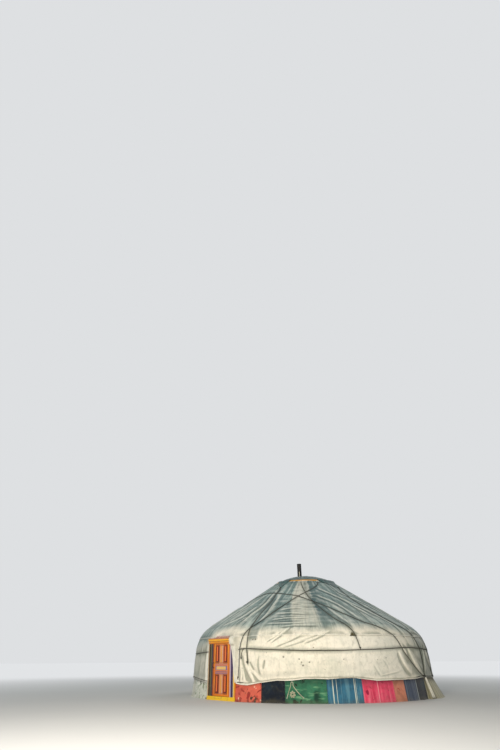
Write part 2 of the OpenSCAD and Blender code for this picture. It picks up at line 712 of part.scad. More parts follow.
// The ropes of one half; two of them start at the corners of the cloth over the crown, and two at the ring
module roof_ropes() {
  rope([for (p = [on_ring(63), on_roof(63, roof_open + 25)]) with_d(p)], roof_a, wall_a);
  rope(concat(reversed(knot_end(wall_b_left[0])), wall_points(wall_b_left),
    reversed(shoulder_points(placed(roof_b)[0], wall_b_left[1]))), roof_b, wall_b_right);
  rope([for (p = on_cloth_corner(cover_corners[0])) with_d(p)], roof_c, wall_c);
  rope([for (p = on_cloth_corner(cover_corners[1])) with_d(p)], roof_e, wall_e);
  rope([for (p = [on_ring(35), on_roof(35, roof_open + 25)]) with_d(p)], roof_f, wall_f);
}

module roof_ropes_front() { color("dimgray") roof_ropes(); }
module roof_ropes_back() { color("dimgray") rotate([0, 0, 180]) roof_ropes(); }

threshold();
lintel();
left_jamb();
right_jamb();
door_leaf();
door_panels();
door_handle();
lattice(0);  // lattice_1
lattice(1);  // lattice_2
lattice(2);  // lattice_3
lattice(3);  // lattice_4
lattice(4);  // lattice_5
lattice(5);  // lattice_6
poles(0, 20);  // roof_poles_right
poles(21, 40);  // roof_poles_back
poles(41, 62);  // roof_poles_left
crown_ring();
crown_spokes();
crown_cover();
pipe_plate();
stove_pipe();
wall_felt(0, 2);  // wall_felt_right
wall_felt(2, 2);  // wall_felt_back_right
wall_felt(4, 2);  // wall_felt_back_left
wall_felt(6, 2);  // wall_felt_left
door_felt();
door_roll();
roof_felt(0);  // roof_felt_right
roof_felt(1);  // roof_felt_back_right
roof_felt(2);  // roof_felt_back_left
roof_felt(3);  // roof_felt_left
wall_canvas(felt_start, canvas_seam - seam_gap);  // wall_canvas_right
wall_canvas(canvas_seam + seam_gap, 360 - felt_start);  // wall_canvas_left
roof_canvas();
skirt_white();
skirt_red();
skirt_navy();
skirt_green();
skirt_blue();
skirt_crimson();
skirt_peach();
canvas_tail();
belly_rope();
hem_rope();
roof_ropes_front();
roof_ropes_back();
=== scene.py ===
import bmesh
import bpy
import math
from contextlib import contextmanager
import numpy as np
from mathutils import Matrix, Vector


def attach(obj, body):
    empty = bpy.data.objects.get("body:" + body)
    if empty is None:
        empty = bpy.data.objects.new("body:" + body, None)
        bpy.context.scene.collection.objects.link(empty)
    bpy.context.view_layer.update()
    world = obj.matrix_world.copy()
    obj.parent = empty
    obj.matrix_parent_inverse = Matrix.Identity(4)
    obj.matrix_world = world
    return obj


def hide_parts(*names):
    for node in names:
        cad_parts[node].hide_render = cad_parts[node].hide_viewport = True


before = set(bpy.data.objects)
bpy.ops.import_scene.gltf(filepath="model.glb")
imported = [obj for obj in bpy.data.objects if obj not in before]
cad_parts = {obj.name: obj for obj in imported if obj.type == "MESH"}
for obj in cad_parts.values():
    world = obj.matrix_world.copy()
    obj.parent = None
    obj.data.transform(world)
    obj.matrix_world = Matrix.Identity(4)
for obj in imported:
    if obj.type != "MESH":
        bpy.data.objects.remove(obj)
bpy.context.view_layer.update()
print("frame loaded:", len(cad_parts), "nodes")

scene = bpy.context.scene
scene.view_settings.view_transform = "Standard"


# shared helpers

def linear(r, g, b):
    out = []
    for c in (r / 255, g / 255, b / 255):
        out.append(c / 12.92 if c <= 0.04045 else ((c + 0.055) / 1.055) ** 2.4)
    return (*out, 1.0)


def hashed(ix, iy, iz, seed):
    n = (ix * 73856093) ^ (iy * 19349663) ^ (iz * 83492791) ^ (seed * 26544357)
    n = ((n ^ (n >> 15)) & 0xffffffff) * 2246822519 & 0xffffffff
    n = ((n ^ (n >> 13)) & 0xffffffff) * 1664525 & 0xffffffff
    return ((n ^ (n >> 16)) & 0xffff) / 32767.5 - 1


def noise(x, y, z, seed=0):  # value noise from -1 to 1
    x, y, z = np.broadcast_arrays(x, y, z)
    cells = [np.floor(c).astype(np.int64) for c in (x, y, z)]
    parts = [c - i for c, i in zip((x, y, z), cells)]
    parts = [p * p * (3 - 2 * p) for p in parts]
    total = 0
    for dx in (0, 1):
        for dy in (0, 1):
            for dz in (0, 1):
                weight = 1
                for d, p in zip((dx, dy, dz), parts):
                    weight = weight * (p if d else 1 - p)
                total = total + weight * hashed(cells[0] + dx, cells[1] + dy, cells[2] + dz, seed)
    return total


def flow(az, s, perAround, perUp, seed, octaves=2):  # noise on the cover, with no seam round it
    total, gain = 0, 1
    for k in range(octaves):
        f = 2 ** k
        ring = flowRadius * perAround * f
        total = total + gain * noise(ring * np.cos(az), ring * np.sin(az), s * perUp * f + 7.3 * k, seed + k)
        gain *= 0.5
    return total / (2 - 0.5 ** (octaves - 1))


def ease(x, low, high):
    t = np.clip((x - low) / (high - low), 0, 1)
    return t * t * (3 - 2 * t)


def bell(x, width):
    return np.exp(-(x / width) ** 2)


def blurred(values, reach):  # mean over a window of grid points on both sides, per axis
    out = values
    for axis, n in enumerate(reach):
        size, window = out.shape[axis], 2 * n + 1
        padded = np.pad(out, [(n + 1, n) if k == axis else (0, 0) for k in (0, 1)], mode="edge")
        total = np.cumsum(padded, axis=axis)
        ahead, behind = (np.take(total, np.arange(first, first + size), axis=axis) for first in (window, 0))
        out = (ahead - behind) / window
    return out


def smoothPath(points, steps=8):  # Catmull-Rom through the points
    p = np.array(points, float)
    p = np.vstack([2 * p[0] - p[1], p, 2 * p[-1] - p[-2]])
    out = []
    for i in range(1, len(p) - 2):
        before, here, after, beyond = p[i - 1:i + 3]
        square, cube = 2 * before - 5 * here + 4 * after - beyond, 3 * here - before - 3 * after + beyond
        for t in np.arange(steps) / steps:
            out.append(0.5 * (2 * here + (after - before) * t + square * t ** 2 + cube * t ** 3))
    out.append(p[-2])
    return np.array(out)


def evenPath(points, step):  # resampled at equal distances
    lengths = np.concatenate([[0], np.cumsum(np.linalg.norm(np.diff(points, axis=0), axis=1))])
    count = max(2, int(round(lengths[-1] / step)) + 1)
    at = np.linspace(0, lengths[-1], count)
    return np.stack([np.interp(at, lengths, points[:, k]) for k in range(points.shape[1])], axis=1)


def level(points, at):  # value between the points of a table of (place, value)
    return np.interp(at, [p[0] for p in points], [p[1] for p in points])


def linked(name, data):
    ob = bpy.data.objects.new(name, data)
    scene.collection.objects.link(ob)
    return ob


def meshObject(name, verts, faces, material=None, smooth=True):
    mesh = bpy.data.meshes.new(name)
    mesh.from_pydata([tuple(v) for v in verts], [], [tuple(f) for f in faces])
    mesh.validate()
    if smooth:
        mesh.polygons.foreach_set("use_smooth", [True] * len(mesh.polygons))
    if material:
        mesh.materials.append(material)
    return linked(name, mesh)


@contextmanager
def edited(ob):  # a bmesh that goes back into the object
    bm = bmesh.new()
    bm.from_mesh(ob.data)
    yield bm
    bm.to_mesh(ob.data)
    bm.free()


def gridFaces(nu, nv, wrap=False):  # columns run to the right seen from outside, rows run up
    i, j = np.meshgrid(np.arange(nu if wrap else nu - 1), np.arange(nv - 1), indexing="ij")
    i, j = i.ravel(), j.ravel()
    k = (i + 1) % nu
    return np.stack([i * nv + j, k * nv + j, k * nv + j + 1, i * nv + j + 1], axis=1)


def clothObject(name, grids, material):
    # one mesh from several grids: each is points (nu x nv x 3), uv (nu x nv x 2), wrap, attributes (each nu x nv)
    verts, faces, uvs, first = [], [], [], 0
    attributes = {key: [] for key in grids[0][3]}
    for points, uv, wrap, values in grids:
        nu, nv = points.shape[:2]
        f = gridFaces(nu, nv, wrap)
        loop = uv.reshape(-1, 2)[f.ravel()]
        if wrap:  # the last column of faces runs on instead of back
            last = np.repeat(f[:, 1] < f[:, 0], 4).reshape(-1, 4)
            last[:, [0, 3]] = False
            loop[last.ravel(), 0] += uv[-1, 0, 0] + (uv[1, 0, 0] - uv[0, 0, 0]) - uv[0, 0, 0]
        verts.append(points.reshape(-1, 3))
        faces.append(f + first)
        uvs.append(loop)
        for key in attributes:
            attributes[key].append(values[key].reshape(-1))
        first += nu * nv
    verts, faces, uvs = np.concatenate(verts), np.concatenate(faces), np.concatenate(uvs)
    mesh = bpy.data.meshes.new(name)
    mesh.vertices.add(len(verts))
    mesh.vertices.foreach_set("co", verts.ravel())
    mesh.loops.add(faces.size)
    mesh.loops.foreach_set("vertex_index", faces.ravel().astype(np.int32))
    mesh.polygons.add(len(faces))
    mesh.polygons.foreach_set("loop_start", np.arange(0, faces.size, 4, dtype=np.int32))
    mesh.update(calc_edges=True)
    mesh.polygons.foreach_set("use_smooth", [True] * len(faces))
    layer = mesh.uv_layers.new(name="cloth")
    layer.data.foreach_set("uv", uvs.ravel())
    for key, parts in attributes.items():
        attribute = mesh.attributes.new(key, "FLOAT", "POINT")
        attribute.data.foreach_set("value", np.concatenate(parts).astype(np.float32))
    mesh.materials.append(material)
    return linked(name, mesh)


# shader helpers

def put(tree, kind, ins=None, **props):
    n = tree.nodes.new(kind)
    for key, value in props.items():
        setattr(n, key, value)
    for key, value in (ins or {}).items():
        socket = n.inputs[key]
        if isinstance(value, bpy.types.NodeSocket):
            tree.links.new(value, socket)
        else:
            socket.default_value = value
    return n


def math2(tree, operation, a, b=0.0, clamp=False):
    return put(tree, "ShaderNodeMath", {0: a, 1: b}, operation=operation, use_clamp=clamp).outputs[0]


def times(tree, a, b):
    return math2(tree, "MULTIPLY", a, b)


def plus(tree, a, b):
    return math2(tree, "ADD", a, b)


def minus(tree, a, b):
    return math2(tree, "SUBTRACT", a, b)


def absolute(tree, a):
    return math2(tree, "ABSOLUTE", a)


def apart(tree, a, b):
    return absolute(tree, minus(tree, a, b))


def span(tree, value, low, high, toLow=0.0, toHigh=1.0, curve="SMOOTHSTEP"):
    ins = {"Value": value, "From Min": low, "From Max": high, "To Min": toLow, "To Max": toHigh}
    return put(tree, "ShaderNodeMapRange", ins, interpolation_type=curve).outputs[0]


def mix(tree, factor, a, b, blend="MIX"):
    return put(tree, "ShaderNodeMix", {0: factor, 6: a, 7: b}, data_type="RGBA", blend_type=blend).outputs[2]


def tinted(tree, colour, r, g, b):
    return mix(tree, 1.0, colour, (r, g, b, 1), "MULTIPLY")


def texture(tree, vector, scale, detail=4.0, rough=0.55, distortion=0.0):
    ins = {"Vector": vector, "Scale": scale, "Detail": detail, "Roughness": rough, "Distortion": distortion}
    return put(tree, "ShaderNodeTexNoise", ins).outputs[0]


def bands(tree, vector, scale, distortion, detail, direction):
    ins = {"Vector": vector, "Scale": scale, "Distortion": distortion, "Detail": detail}
    return put(tree, "ShaderNodeTexWave", ins, wave_type="BANDS", bands_direction=direction).outputs[1]


def stretched(tree, vector, scale, location=(0, 0, 0), rotation=(0, 0, 0)):
    ins = {"Vector": vector, "Scale": scale, "Location": location, "Rotation": rotation}
    return put(tree, "ShaderNodeMapping", ins).outputs[0]


def moved(tree, vector, x, y):
    return stretched(tree, vector, (1, 1, 1), (x, y, 0))


def attributeValue(tree, name):
    return put(tree, "ShaderNodeAttribute", attribute_name=name).outputs["Fac"]


def objectVector(tree):
    return put(tree, "ShaderNodeTexCoord").outputs["Object"]


def uvVector(tree):
    return put(tree, "ShaderNodeUVMap", uv_map="cloth").outputs[0]


def coordinate(tree, position, axis):
    return put(tree, "ShaderNodeSeparateXYZ", {0: position}).outputs[axis]


def startTree(name, kind, ins, outs):
    tree = bpy.data.node_groups.new(name, kind)
    for inOut, sockets in (("INPUT", ins), ("OUTPUT", outs)):
        for socketName, socketKind, *default in sockets:
            socket = tree.interface.new_socket(socketName, in_out=inOut, socket_type="NodeSocket" + socketKind)
            if default:
                socket.default_value = default[0]
    return tree, tree.nodes.new("NodeGroupInput").outputs, tree.nodes.new("NodeGroupOutput").inputs


def startGroup(name, colours, values, outs, vectors=("Position",)):
    ins = [(key, "Color", (*rgb, 1)) for key, rgb in colours] + [(key, "Float", value) for key, value in values]
    return startTree(name, "ShaderNodeTree", ins + [(key, "Vector") for key in vectors], outs)


def startMaterial(name, roughness=0.8, metallic=0.0, specular=0.3, coat=0.0, sheen=0.0):
    material = bpy.data.materials.new(name)
    material.use_nodes = True
    tree = material.node_tree
    shader = tree.nodes["Principled BSDF"]
    for key, value in {"Roughness": roughness, "Metallic": metallic, "Specular IOR Level": specular,
                       "Coat Weight": coat, "Coat Roughness": 0.35, "Sheen Weight": sheen,
                       "Sheen Roughness": 0.6}.items():
        shader.inputs[key].default_value = value
    return material, tree, shader


def finishMaterial(tree, shader, colour, height, bump, strength, roughness=None):
    tree.links.new(colour, shader.inputs["Base Color"])
    if roughness is not None:
        tree.links.new(roughness, shader.inputs["Roughness"])
    n = put(tree, "ShaderNodeBump", {"Height": height, "Strength": strength, "Distance": bump})
    tree.links.new(n.outputs[0], shader.inputs["Normal"])


# worn cloth: uneven tone, streaks, soiling and a plain weave
colourHeight = [("Colour", "Color"), ("Height", "Float")]
clothGroup, gi, go = startGroup(
    "wornCloth", [("Colour", (0.8, 0.8, 0.8)), ("Soil", (0.2, 0.17, 0.1))],
    [("Soiling", 0.3), ("Variation", 0.2), ("Crumple", 0.5), ("Threads", 60.0)], colourHeight,
    ("Position", "Sheet"))
g = clothGroup
broad = texture(g, gi["Position"], 1.3, 6.0, 0.6, 0.4)
fine = texture(g, gi["Position"], 11.0, 7.0, 0.62, 0.6)
tint = times(g, span(g, broad, 0.35, 0.68), gi["Variation"])
toned = mix(g, tint, gi["Colour"], tinted(g, gi["Colour"], 0.62, 0.68, 0.66))
soilMask = times(g, span(g, texture(g, gi["Position"], 3.1, 8.0, 0.68, 0.8), 0.56, 0.74), gi["Soiling"])
toned = mix(g, soilMask, toned, gi["Soil"])
toned = mix(g, times(g, span(g, fine, 0.48, 0.7), 0.16), toned, gi["Soil"])
warp, weft = (bands(g, gi["Sheet"], gi["Threads"], 0.6, 1.0, axis) for axis in "XY")
weave = times(g, plus(g, warp, weft), 0.035)
crease = times(g, plus(g, fine, times(g, broad, 1.5)), gi["Crumple"])
g.links.new(toned, go["Colour"])
g.links.new(plus(g, crease, weave), go["Height"])

# gloss paint on wood that wears through to the wood
surface = [("Colour", "Color"), ("Roughness", "Float"), ("Height", "Float")]
paintGroup, gi, go = startGroup("wornPaint", [("Colour", (0.8, 0.3, 0.1)), ("Wood", (0.3, 0.2, 0.12))],
                                [("Wear", 0.2)], surface)
g = paintGroup
grain = texture(g, stretched(g, gi["Position"], (55.0, 55.0, 4.0)), 1.0, 5.0, 0.6, 0.3)
blotch = texture(g, gi["Position"], 5.0, 8.0, 0.66, 0.5)
chips = texture(g, gi["Position"], 38.0, 6.0, 0.7, 0.2)
wearMask = times(g, span(g, plus(g, times(g, blotch, 0.6), times(g, chips, 0.4)), 0.53, 0.6), gi["Wear"])
shade = mix(g, span(g, grain, 0.3, 0.75, 0.0, 0.35), gi["Colour"], tinted(g, gi["Colour"], 0.55, 0.5, 0.46))
shade = mix(g, span(g, blotch, 0.5, 0.8, 0.0, 0.3), shade, tinted(g, gi["Colour"], 1.25, 1.2, 1.1))
shade = mix(g, wearMask, shade, mix(g, grain, gi["Wood"], (0.42, 0.33, 0.24, 1)))
g.links.new(shade, go["Colour"])
dull = math2(g, "ADD", span(g, blotch, 0.3, 0.8, 0.32, 0.6), times(g, wearMask, 0.4), True)
g.links.new(dull, go["Roughness"])
g.links.new(minus(g, times(g, grain, 0.5), times(g, wearMask, 0.5)), go["Height"])

# pressed wool
feltGroup, gi, go = startGroup("pressedWool", [("Colour", (0.6, 0.55, 0.45)), ("Dark", (0.3, 0.26, 0.2))],
                               [], colourHeight)
g = feltGroup
clumps = texture(g, gi["Position"], 7.0, 8.0, 0.7, 1.2)
fibres = texture(g, stretched(g, gi["Position"], (60.0, 60.0, 60.0)), 1.0, 6.0, 0.75, 2.5)
wool = mix(g, span(g, clumps, 0.4, 0.72, 0.0, 0.7), gi["Colour"], gi["Dark"])
wool = mix(g, span(g, fibres, 0.45, 0.75, 0.0, 0.35), wool, (0.75, 0.7, 0.6, 1))
g.links.new(wool, go["Colour"])
g.links.new(plus(g, clumps, times(g, fibres, 0.35)), go["Height"])

# twisted fibres of a rope
fibreGroup, gi, go = startGroup("ropeFibre", [("Colour", (0.1, 0.1, 0.09)), ("Pale", (0.3, 0.28, 0.24))],
                                [], colourHeight)
g = fibreGroup
hair = texture(g, gi["Position"], 130.0, 5.0, 0.7, 1.5)
faded = plus(g, times(g, hair, 0.5), times(g, texture(g, gi["Position"], 3.0, 4.0, 0.6), 0.5))
g.links.new(mix(g, span(g, faded, 0.42, 0.66), gi["Colour"], gi["Pale"]), go["Colour"])
g.links.new(hair, go["Height"])

# sheet metal with soot and rust
metalGroup, gi, go = startGroup("sootyMetal", [("Colour", (0.03, 0.03, 0.03)), ("Rust", (0.2, 0.08, 0.03))],
                                [("Rusting", 0.4)], surface)
g = metalGroup
specks = texture(g, gi["Position"], 16.0, 9.0, 0.72, 0.6)
runs = texture(g, stretched(g, gi["Position"], (24.0, 24.0, 2.0)), 1.0, 5.0, 0.6, 0.4)
rust = times(g, span(g, plus(g, times(g, specks, 0.6), times(g, runs, 0.4)), 0.5, 0.62), gi["Rusting"])
bare = mix(g, span(g, runs, 0.3, 0.7, 0.0, 0.5), gi["Colour"], tinted(g, gi["Colour"], 2.2, 2.2, 2.1))
g.links.new(mix(g, rust, bare, gi["Rust"]), go["Colour"])
g.links.new(span(g, plus(g, rust, times(g, runs, 0.4)), 0.0, 1.0, 0.45, 0.95), go["Roughness"])
g.links.new(specks, go["Height"])
print("shader groups ready")


def useCloth(tree, shader, colour, soilAndShade, soiling, variation, crumple, threads, bump, strength, lines=None):
    ins = {"Colour": colour, "Soil": soilAndShade, "Soiling": soiling, "Variation": variation, "Crumple": crumple,
           "Threads": threads, "Position": objectVector(tree), "Sheet": uvVector(tree)}
    cloth = put(tree, "ShaderNodeGroup", ins, node_tree=clothGroup)
    height = cloth.outputs[1] if lines is None else minus(tree, cloth.outputs[1], times(tree, lines, 0.5))
    finishMaterial(tree, shader, cloth.outputs[0], height, bump, strength)


def fibreMaterial(name, colour, pale, bump=0.003, strength=0.6, roughness=0.92, specular=0.12, sheen=0.2):
    # colour and pale are colours, or functions that make them from the tree
    material, tree, shader = startMaterial(name, roughness=roughness, specular=specular, sheen=sheen)
    colour, pale = (c(tree) if callable(c) else c for c in (colour, pale))
    ins = {"Colour": colour, "Pale": pale, "Position": objectVector(tree)}
    fibre = put(tree, "ShaderNodeGroup", ins, node_tree=fibreGroup)
    finishMaterial(tree, shader, fibre.outputs[0], fibre.outputs[1], bump, strength)
    return material


def metalMaterial(name, colour, rust, rusting, bump, strength, roughness, metallic):
    material, tree, shader = startMaterial(name, roughness=roughness, metallic=metallic)
    ins = {"Colour": colour(tree) if callable(colour) else colour, "Rust": rust, "Rusting": rusting,
           "Position": objectVector(tree)}
    iron = put(tree, "ShaderNodeGroup", ins, node_tree=metalGroup)
    finishMaterial(tree, shader, iron.outputs[0], iron.outputs[2], bump, strength, iron.outputs[1])
    return material


# the cover: azimuth is counted from the door to the right, s runs up the wall, over the shoulder and up the roof

flowRadius = 3.6
cover = {"wallRadius": 3.745, "baseRadius": 3.79, "springHeight": 1.067, "shoulderRadius": 0.9,
         "slope": math.radians(30.9), "roofTop": 4.538, "roofHem": 1.507, "wallTop": 1.625, "wallIn": 0.0084,
         "doorEdge": 9.12, "wallSeam": 98.0}
arcEnd = math.pi / 2 - cover["slope"]
arcCentre = cover["wallRadius"] - cover["shoulderRadius"]
roofStart = cover["springHeight"] + cover["shoulderRadius"] * arcEnd
eaveRadius = arcCentre + cover["shoulderRadius"] * math.cos(arcEnd)


def turnedBack(az):  # the same direction between -pi and pi
    return np.mod(az + math.pi, 2 * math.pi) - math.pi


def around(radius, az, z):
    return np.stack([radius * np.sin(az), -radius * np.cos(az), z + 0 * radius], axis=-1)


def coverPoint(az, s, lift):  # lift is outwards from the surface of the roof canvas
    t = np.clip((s - cover["springHeight"]) / cover["shoulderRadius"], 0, arcEnd)
    along = np.maximum(s - roofStart, 0)
    lean = (cover["baseRadius"] - cover["wallRadius"]) * np.maximum(0, 1 - s / cover["springHeight"])
    reach = cover["shoulderRadius"] + lift
    r = arcCentre + reach * np.cos(t) - along * math.cos(cover["slope"]) + lean
    z = np.minimum(s, cover["springHeight"]) + reach * np.sin(t) + along * math.sin(cover["slope"])
    return around(r, az, z)


def coverRadius(s):
    t = np.clip((s - cover["springHeight"]) / cover["shoulderRadius"], 0, arcEnd)
    along = np.maximum(s - roofStart, 0)
    return arcCentre + cover["shoulderRadius"] * np.cos(t) - along * math.cos(cover["slope"])


def roofS(radius):  # s of a radius on the roof
    if radius < eaveRadius:
        return roofStart + (eaveRadius - radius) / math.cos(cover["slope"])
    turn = math.acos(min(1, (radius - arcCentre) / cover["shoulderRadius"]))
    return cover["springHeight"] + cover["shoulderRadius"] * turn


def wallS(z):  # s of a height on the wall
    above = z - cover["springHeight"]
    if above < 0:
        return z
    return cover["springHeight"] + cover["shoulderRadius"] * math.asin(above / cover["shoulderRadius"])


def pathField(az, s, path):
    # distance from a path of (azimuth, s), the side it lies on (1 is the right of a path down), how far along it
    shape = np.broadcast(az, s).shape
    az, s = np.broadcast_to(az, shape), np.broadcast_to(s, shape)
    best, side, along = np.full(shape, 9.0), np.ones(shape), np.zeros(shape)
    middle, reach = path[:, 0].mean(), 0.5
    offset = turnedBack(az - middle) + middle
    near = np.ones(shape, bool)
    for values, k in ((offset, 0), (s, 1)):
        near &= (values > path[:, k].min() - reach) & (values < path[:, k].max() + reach)
    if not near.any():
        return best, side, along
    a, b = offset[near], s[near]
    radius = coverRadius(b)
    d2, sd, al = np.full(a.shape, 81.0), np.ones(a.shape), np.zeros(a.shape)
    count = len(path) - 1
    for k in range(count):
        x0, y0 = (path[k, 0] - a) * radius, path[k, 1] - b
        dx, dy = (path[k + 1, 0] - path[k, 0]) * radius, path[k + 1, 1] - path[k, 1]
        t = np.clip(-(x0 * dx + y0 * dy) / (dx * dx + dy * dy + 1e-9), 0, 1)
        dist = (x0 + t * dx) ** 2 + (y0 + t * dy) ** 2
        closer = dist < d2
        d2 = np.where(closer, dist, d2)
        sd = np.where(closer, np.sign(dy * x0 - dx * y0 + 1e-12), sd)
        al = np.where(closer, (k + t) / count, al)
    best[near], side[near], along[near] = np.sqrt(d2), sd, al
    return best, side, along


def radians(points):
    return np.array([(math.radians(a), s) for a, s in points])


# ropes: (azimuth in degrees, radius) on the roof and (azimuth, height) on the wall

ropes = {"radius": 0.008, "lay": 0.1, "step": 0.016, "sides": 5}
ropeRoutes = {
    "a": ([(60, 1.29), (55, 1.43), (48, 1.6), (41, 1.78), (35, 1.965), (31, 2.14), (27.5, 2.33), (22, 2.7),
           (18.5, 3.05), (16, 3.33), (13, 3.5), (11, 3.64)],
          [(10.4, 1.17), (10.3, 0.93), (10.2, 0.7), (10.1, 0.54)]),
    "b": ([(-62.5, 3.64), (-61, 3.56), (-58, 3.4), (-50, 2.9), (-37, 2.4), (-29, 2.12), (-22, 1.9), (-13, 1.74),
           (-4, 1.7), (5, 1.72), (14, 1.78), (23, 1.86), (30, 1.93), (35.5, 2.01), (42.5, 2.18), (49, 2.37),
           (55, 2.58), (60.5, 2.83), (65.5, 3.08), (70, 3.32), (75, 3.44), (79.5, 3.56), (83, 3.66)],
          [(85, 1.17), (87.5, 1.0), (90.5, 0.83), (94, 0.66), (97.6, 0.54)]),
    "c": ([(9, 1.543), (9.8, 1.8), (12, 2.16), (12.5, 2.56), (12.5, 2.9), (13.5, 3.3),
           (13.5, 3.48), (13.7, 3.62)],
          [(14.2, 1.17), (14.8, 0.89)]),
    "e": ([(87.5, 1.625), (85, 2.0), (86, 2.37), (88.5, 2.93), (91.5, 3.34), (95, 3.48), (98, 3.6)],
          [(100, 1.17), (100.5, 0.8), (99.2, 0.545)]),
    "f": ([(41, 1.75), (45, 2.17), (49, 2.52), (52.5, 2.87), (56, 3.22), (59, 3.42), (61, 3.56), (61.8, 3.65)],
          [(62.5, 1.205)])}
ropeStarts = {"a": [(63, 1.15)], "f": [(35, 1.15)],  # from the ring
              "c": [(7, 1.44), (7, 1.488)], "e": [(90, 1.44), (90, 1.488)]}  # from the crown cloth
farWall = [(-68, 0.54), (-66.5, 0.85), (-65, wallS(1.17))]  # the other end of rope b


def ropePath(key, half):
    roof, wall = ropeRoutes[key]
    points = [(a, roofS(r)) for a, r in ropeStarts.get(key, []) + roof] + [(a, wallS(z)) for a, z in wall]
    points = (farWall if key == "b" else []) + points
    turn = 180 if half == "back" else 0
    return smoothPath([(math.radians(a + turn), s) for a, s in points], 4)


bellyTable = radians([(-180, 1.17), (-120, 1.15), (-60, 1.14), (-28, 1.105), (-11, 1.143),
                      (7, 1.163), (11.5, 1.2),
                      (14.5, 1.205), (22, 1.178), (30, 1.16), (39, 1.142), (55, 1.142),
                      (73, 1.175), (86, 1.215),
                      (92, 1.218), (106, 1.19), (140, 1.16), (180, 1.17)])


def bellyS(az):
    return level(bellyTable, turnedBack(az))


ropeLines = {half: {key: ropePath(key, half) for key in ropeRoutes} for half in ("front", "back")}

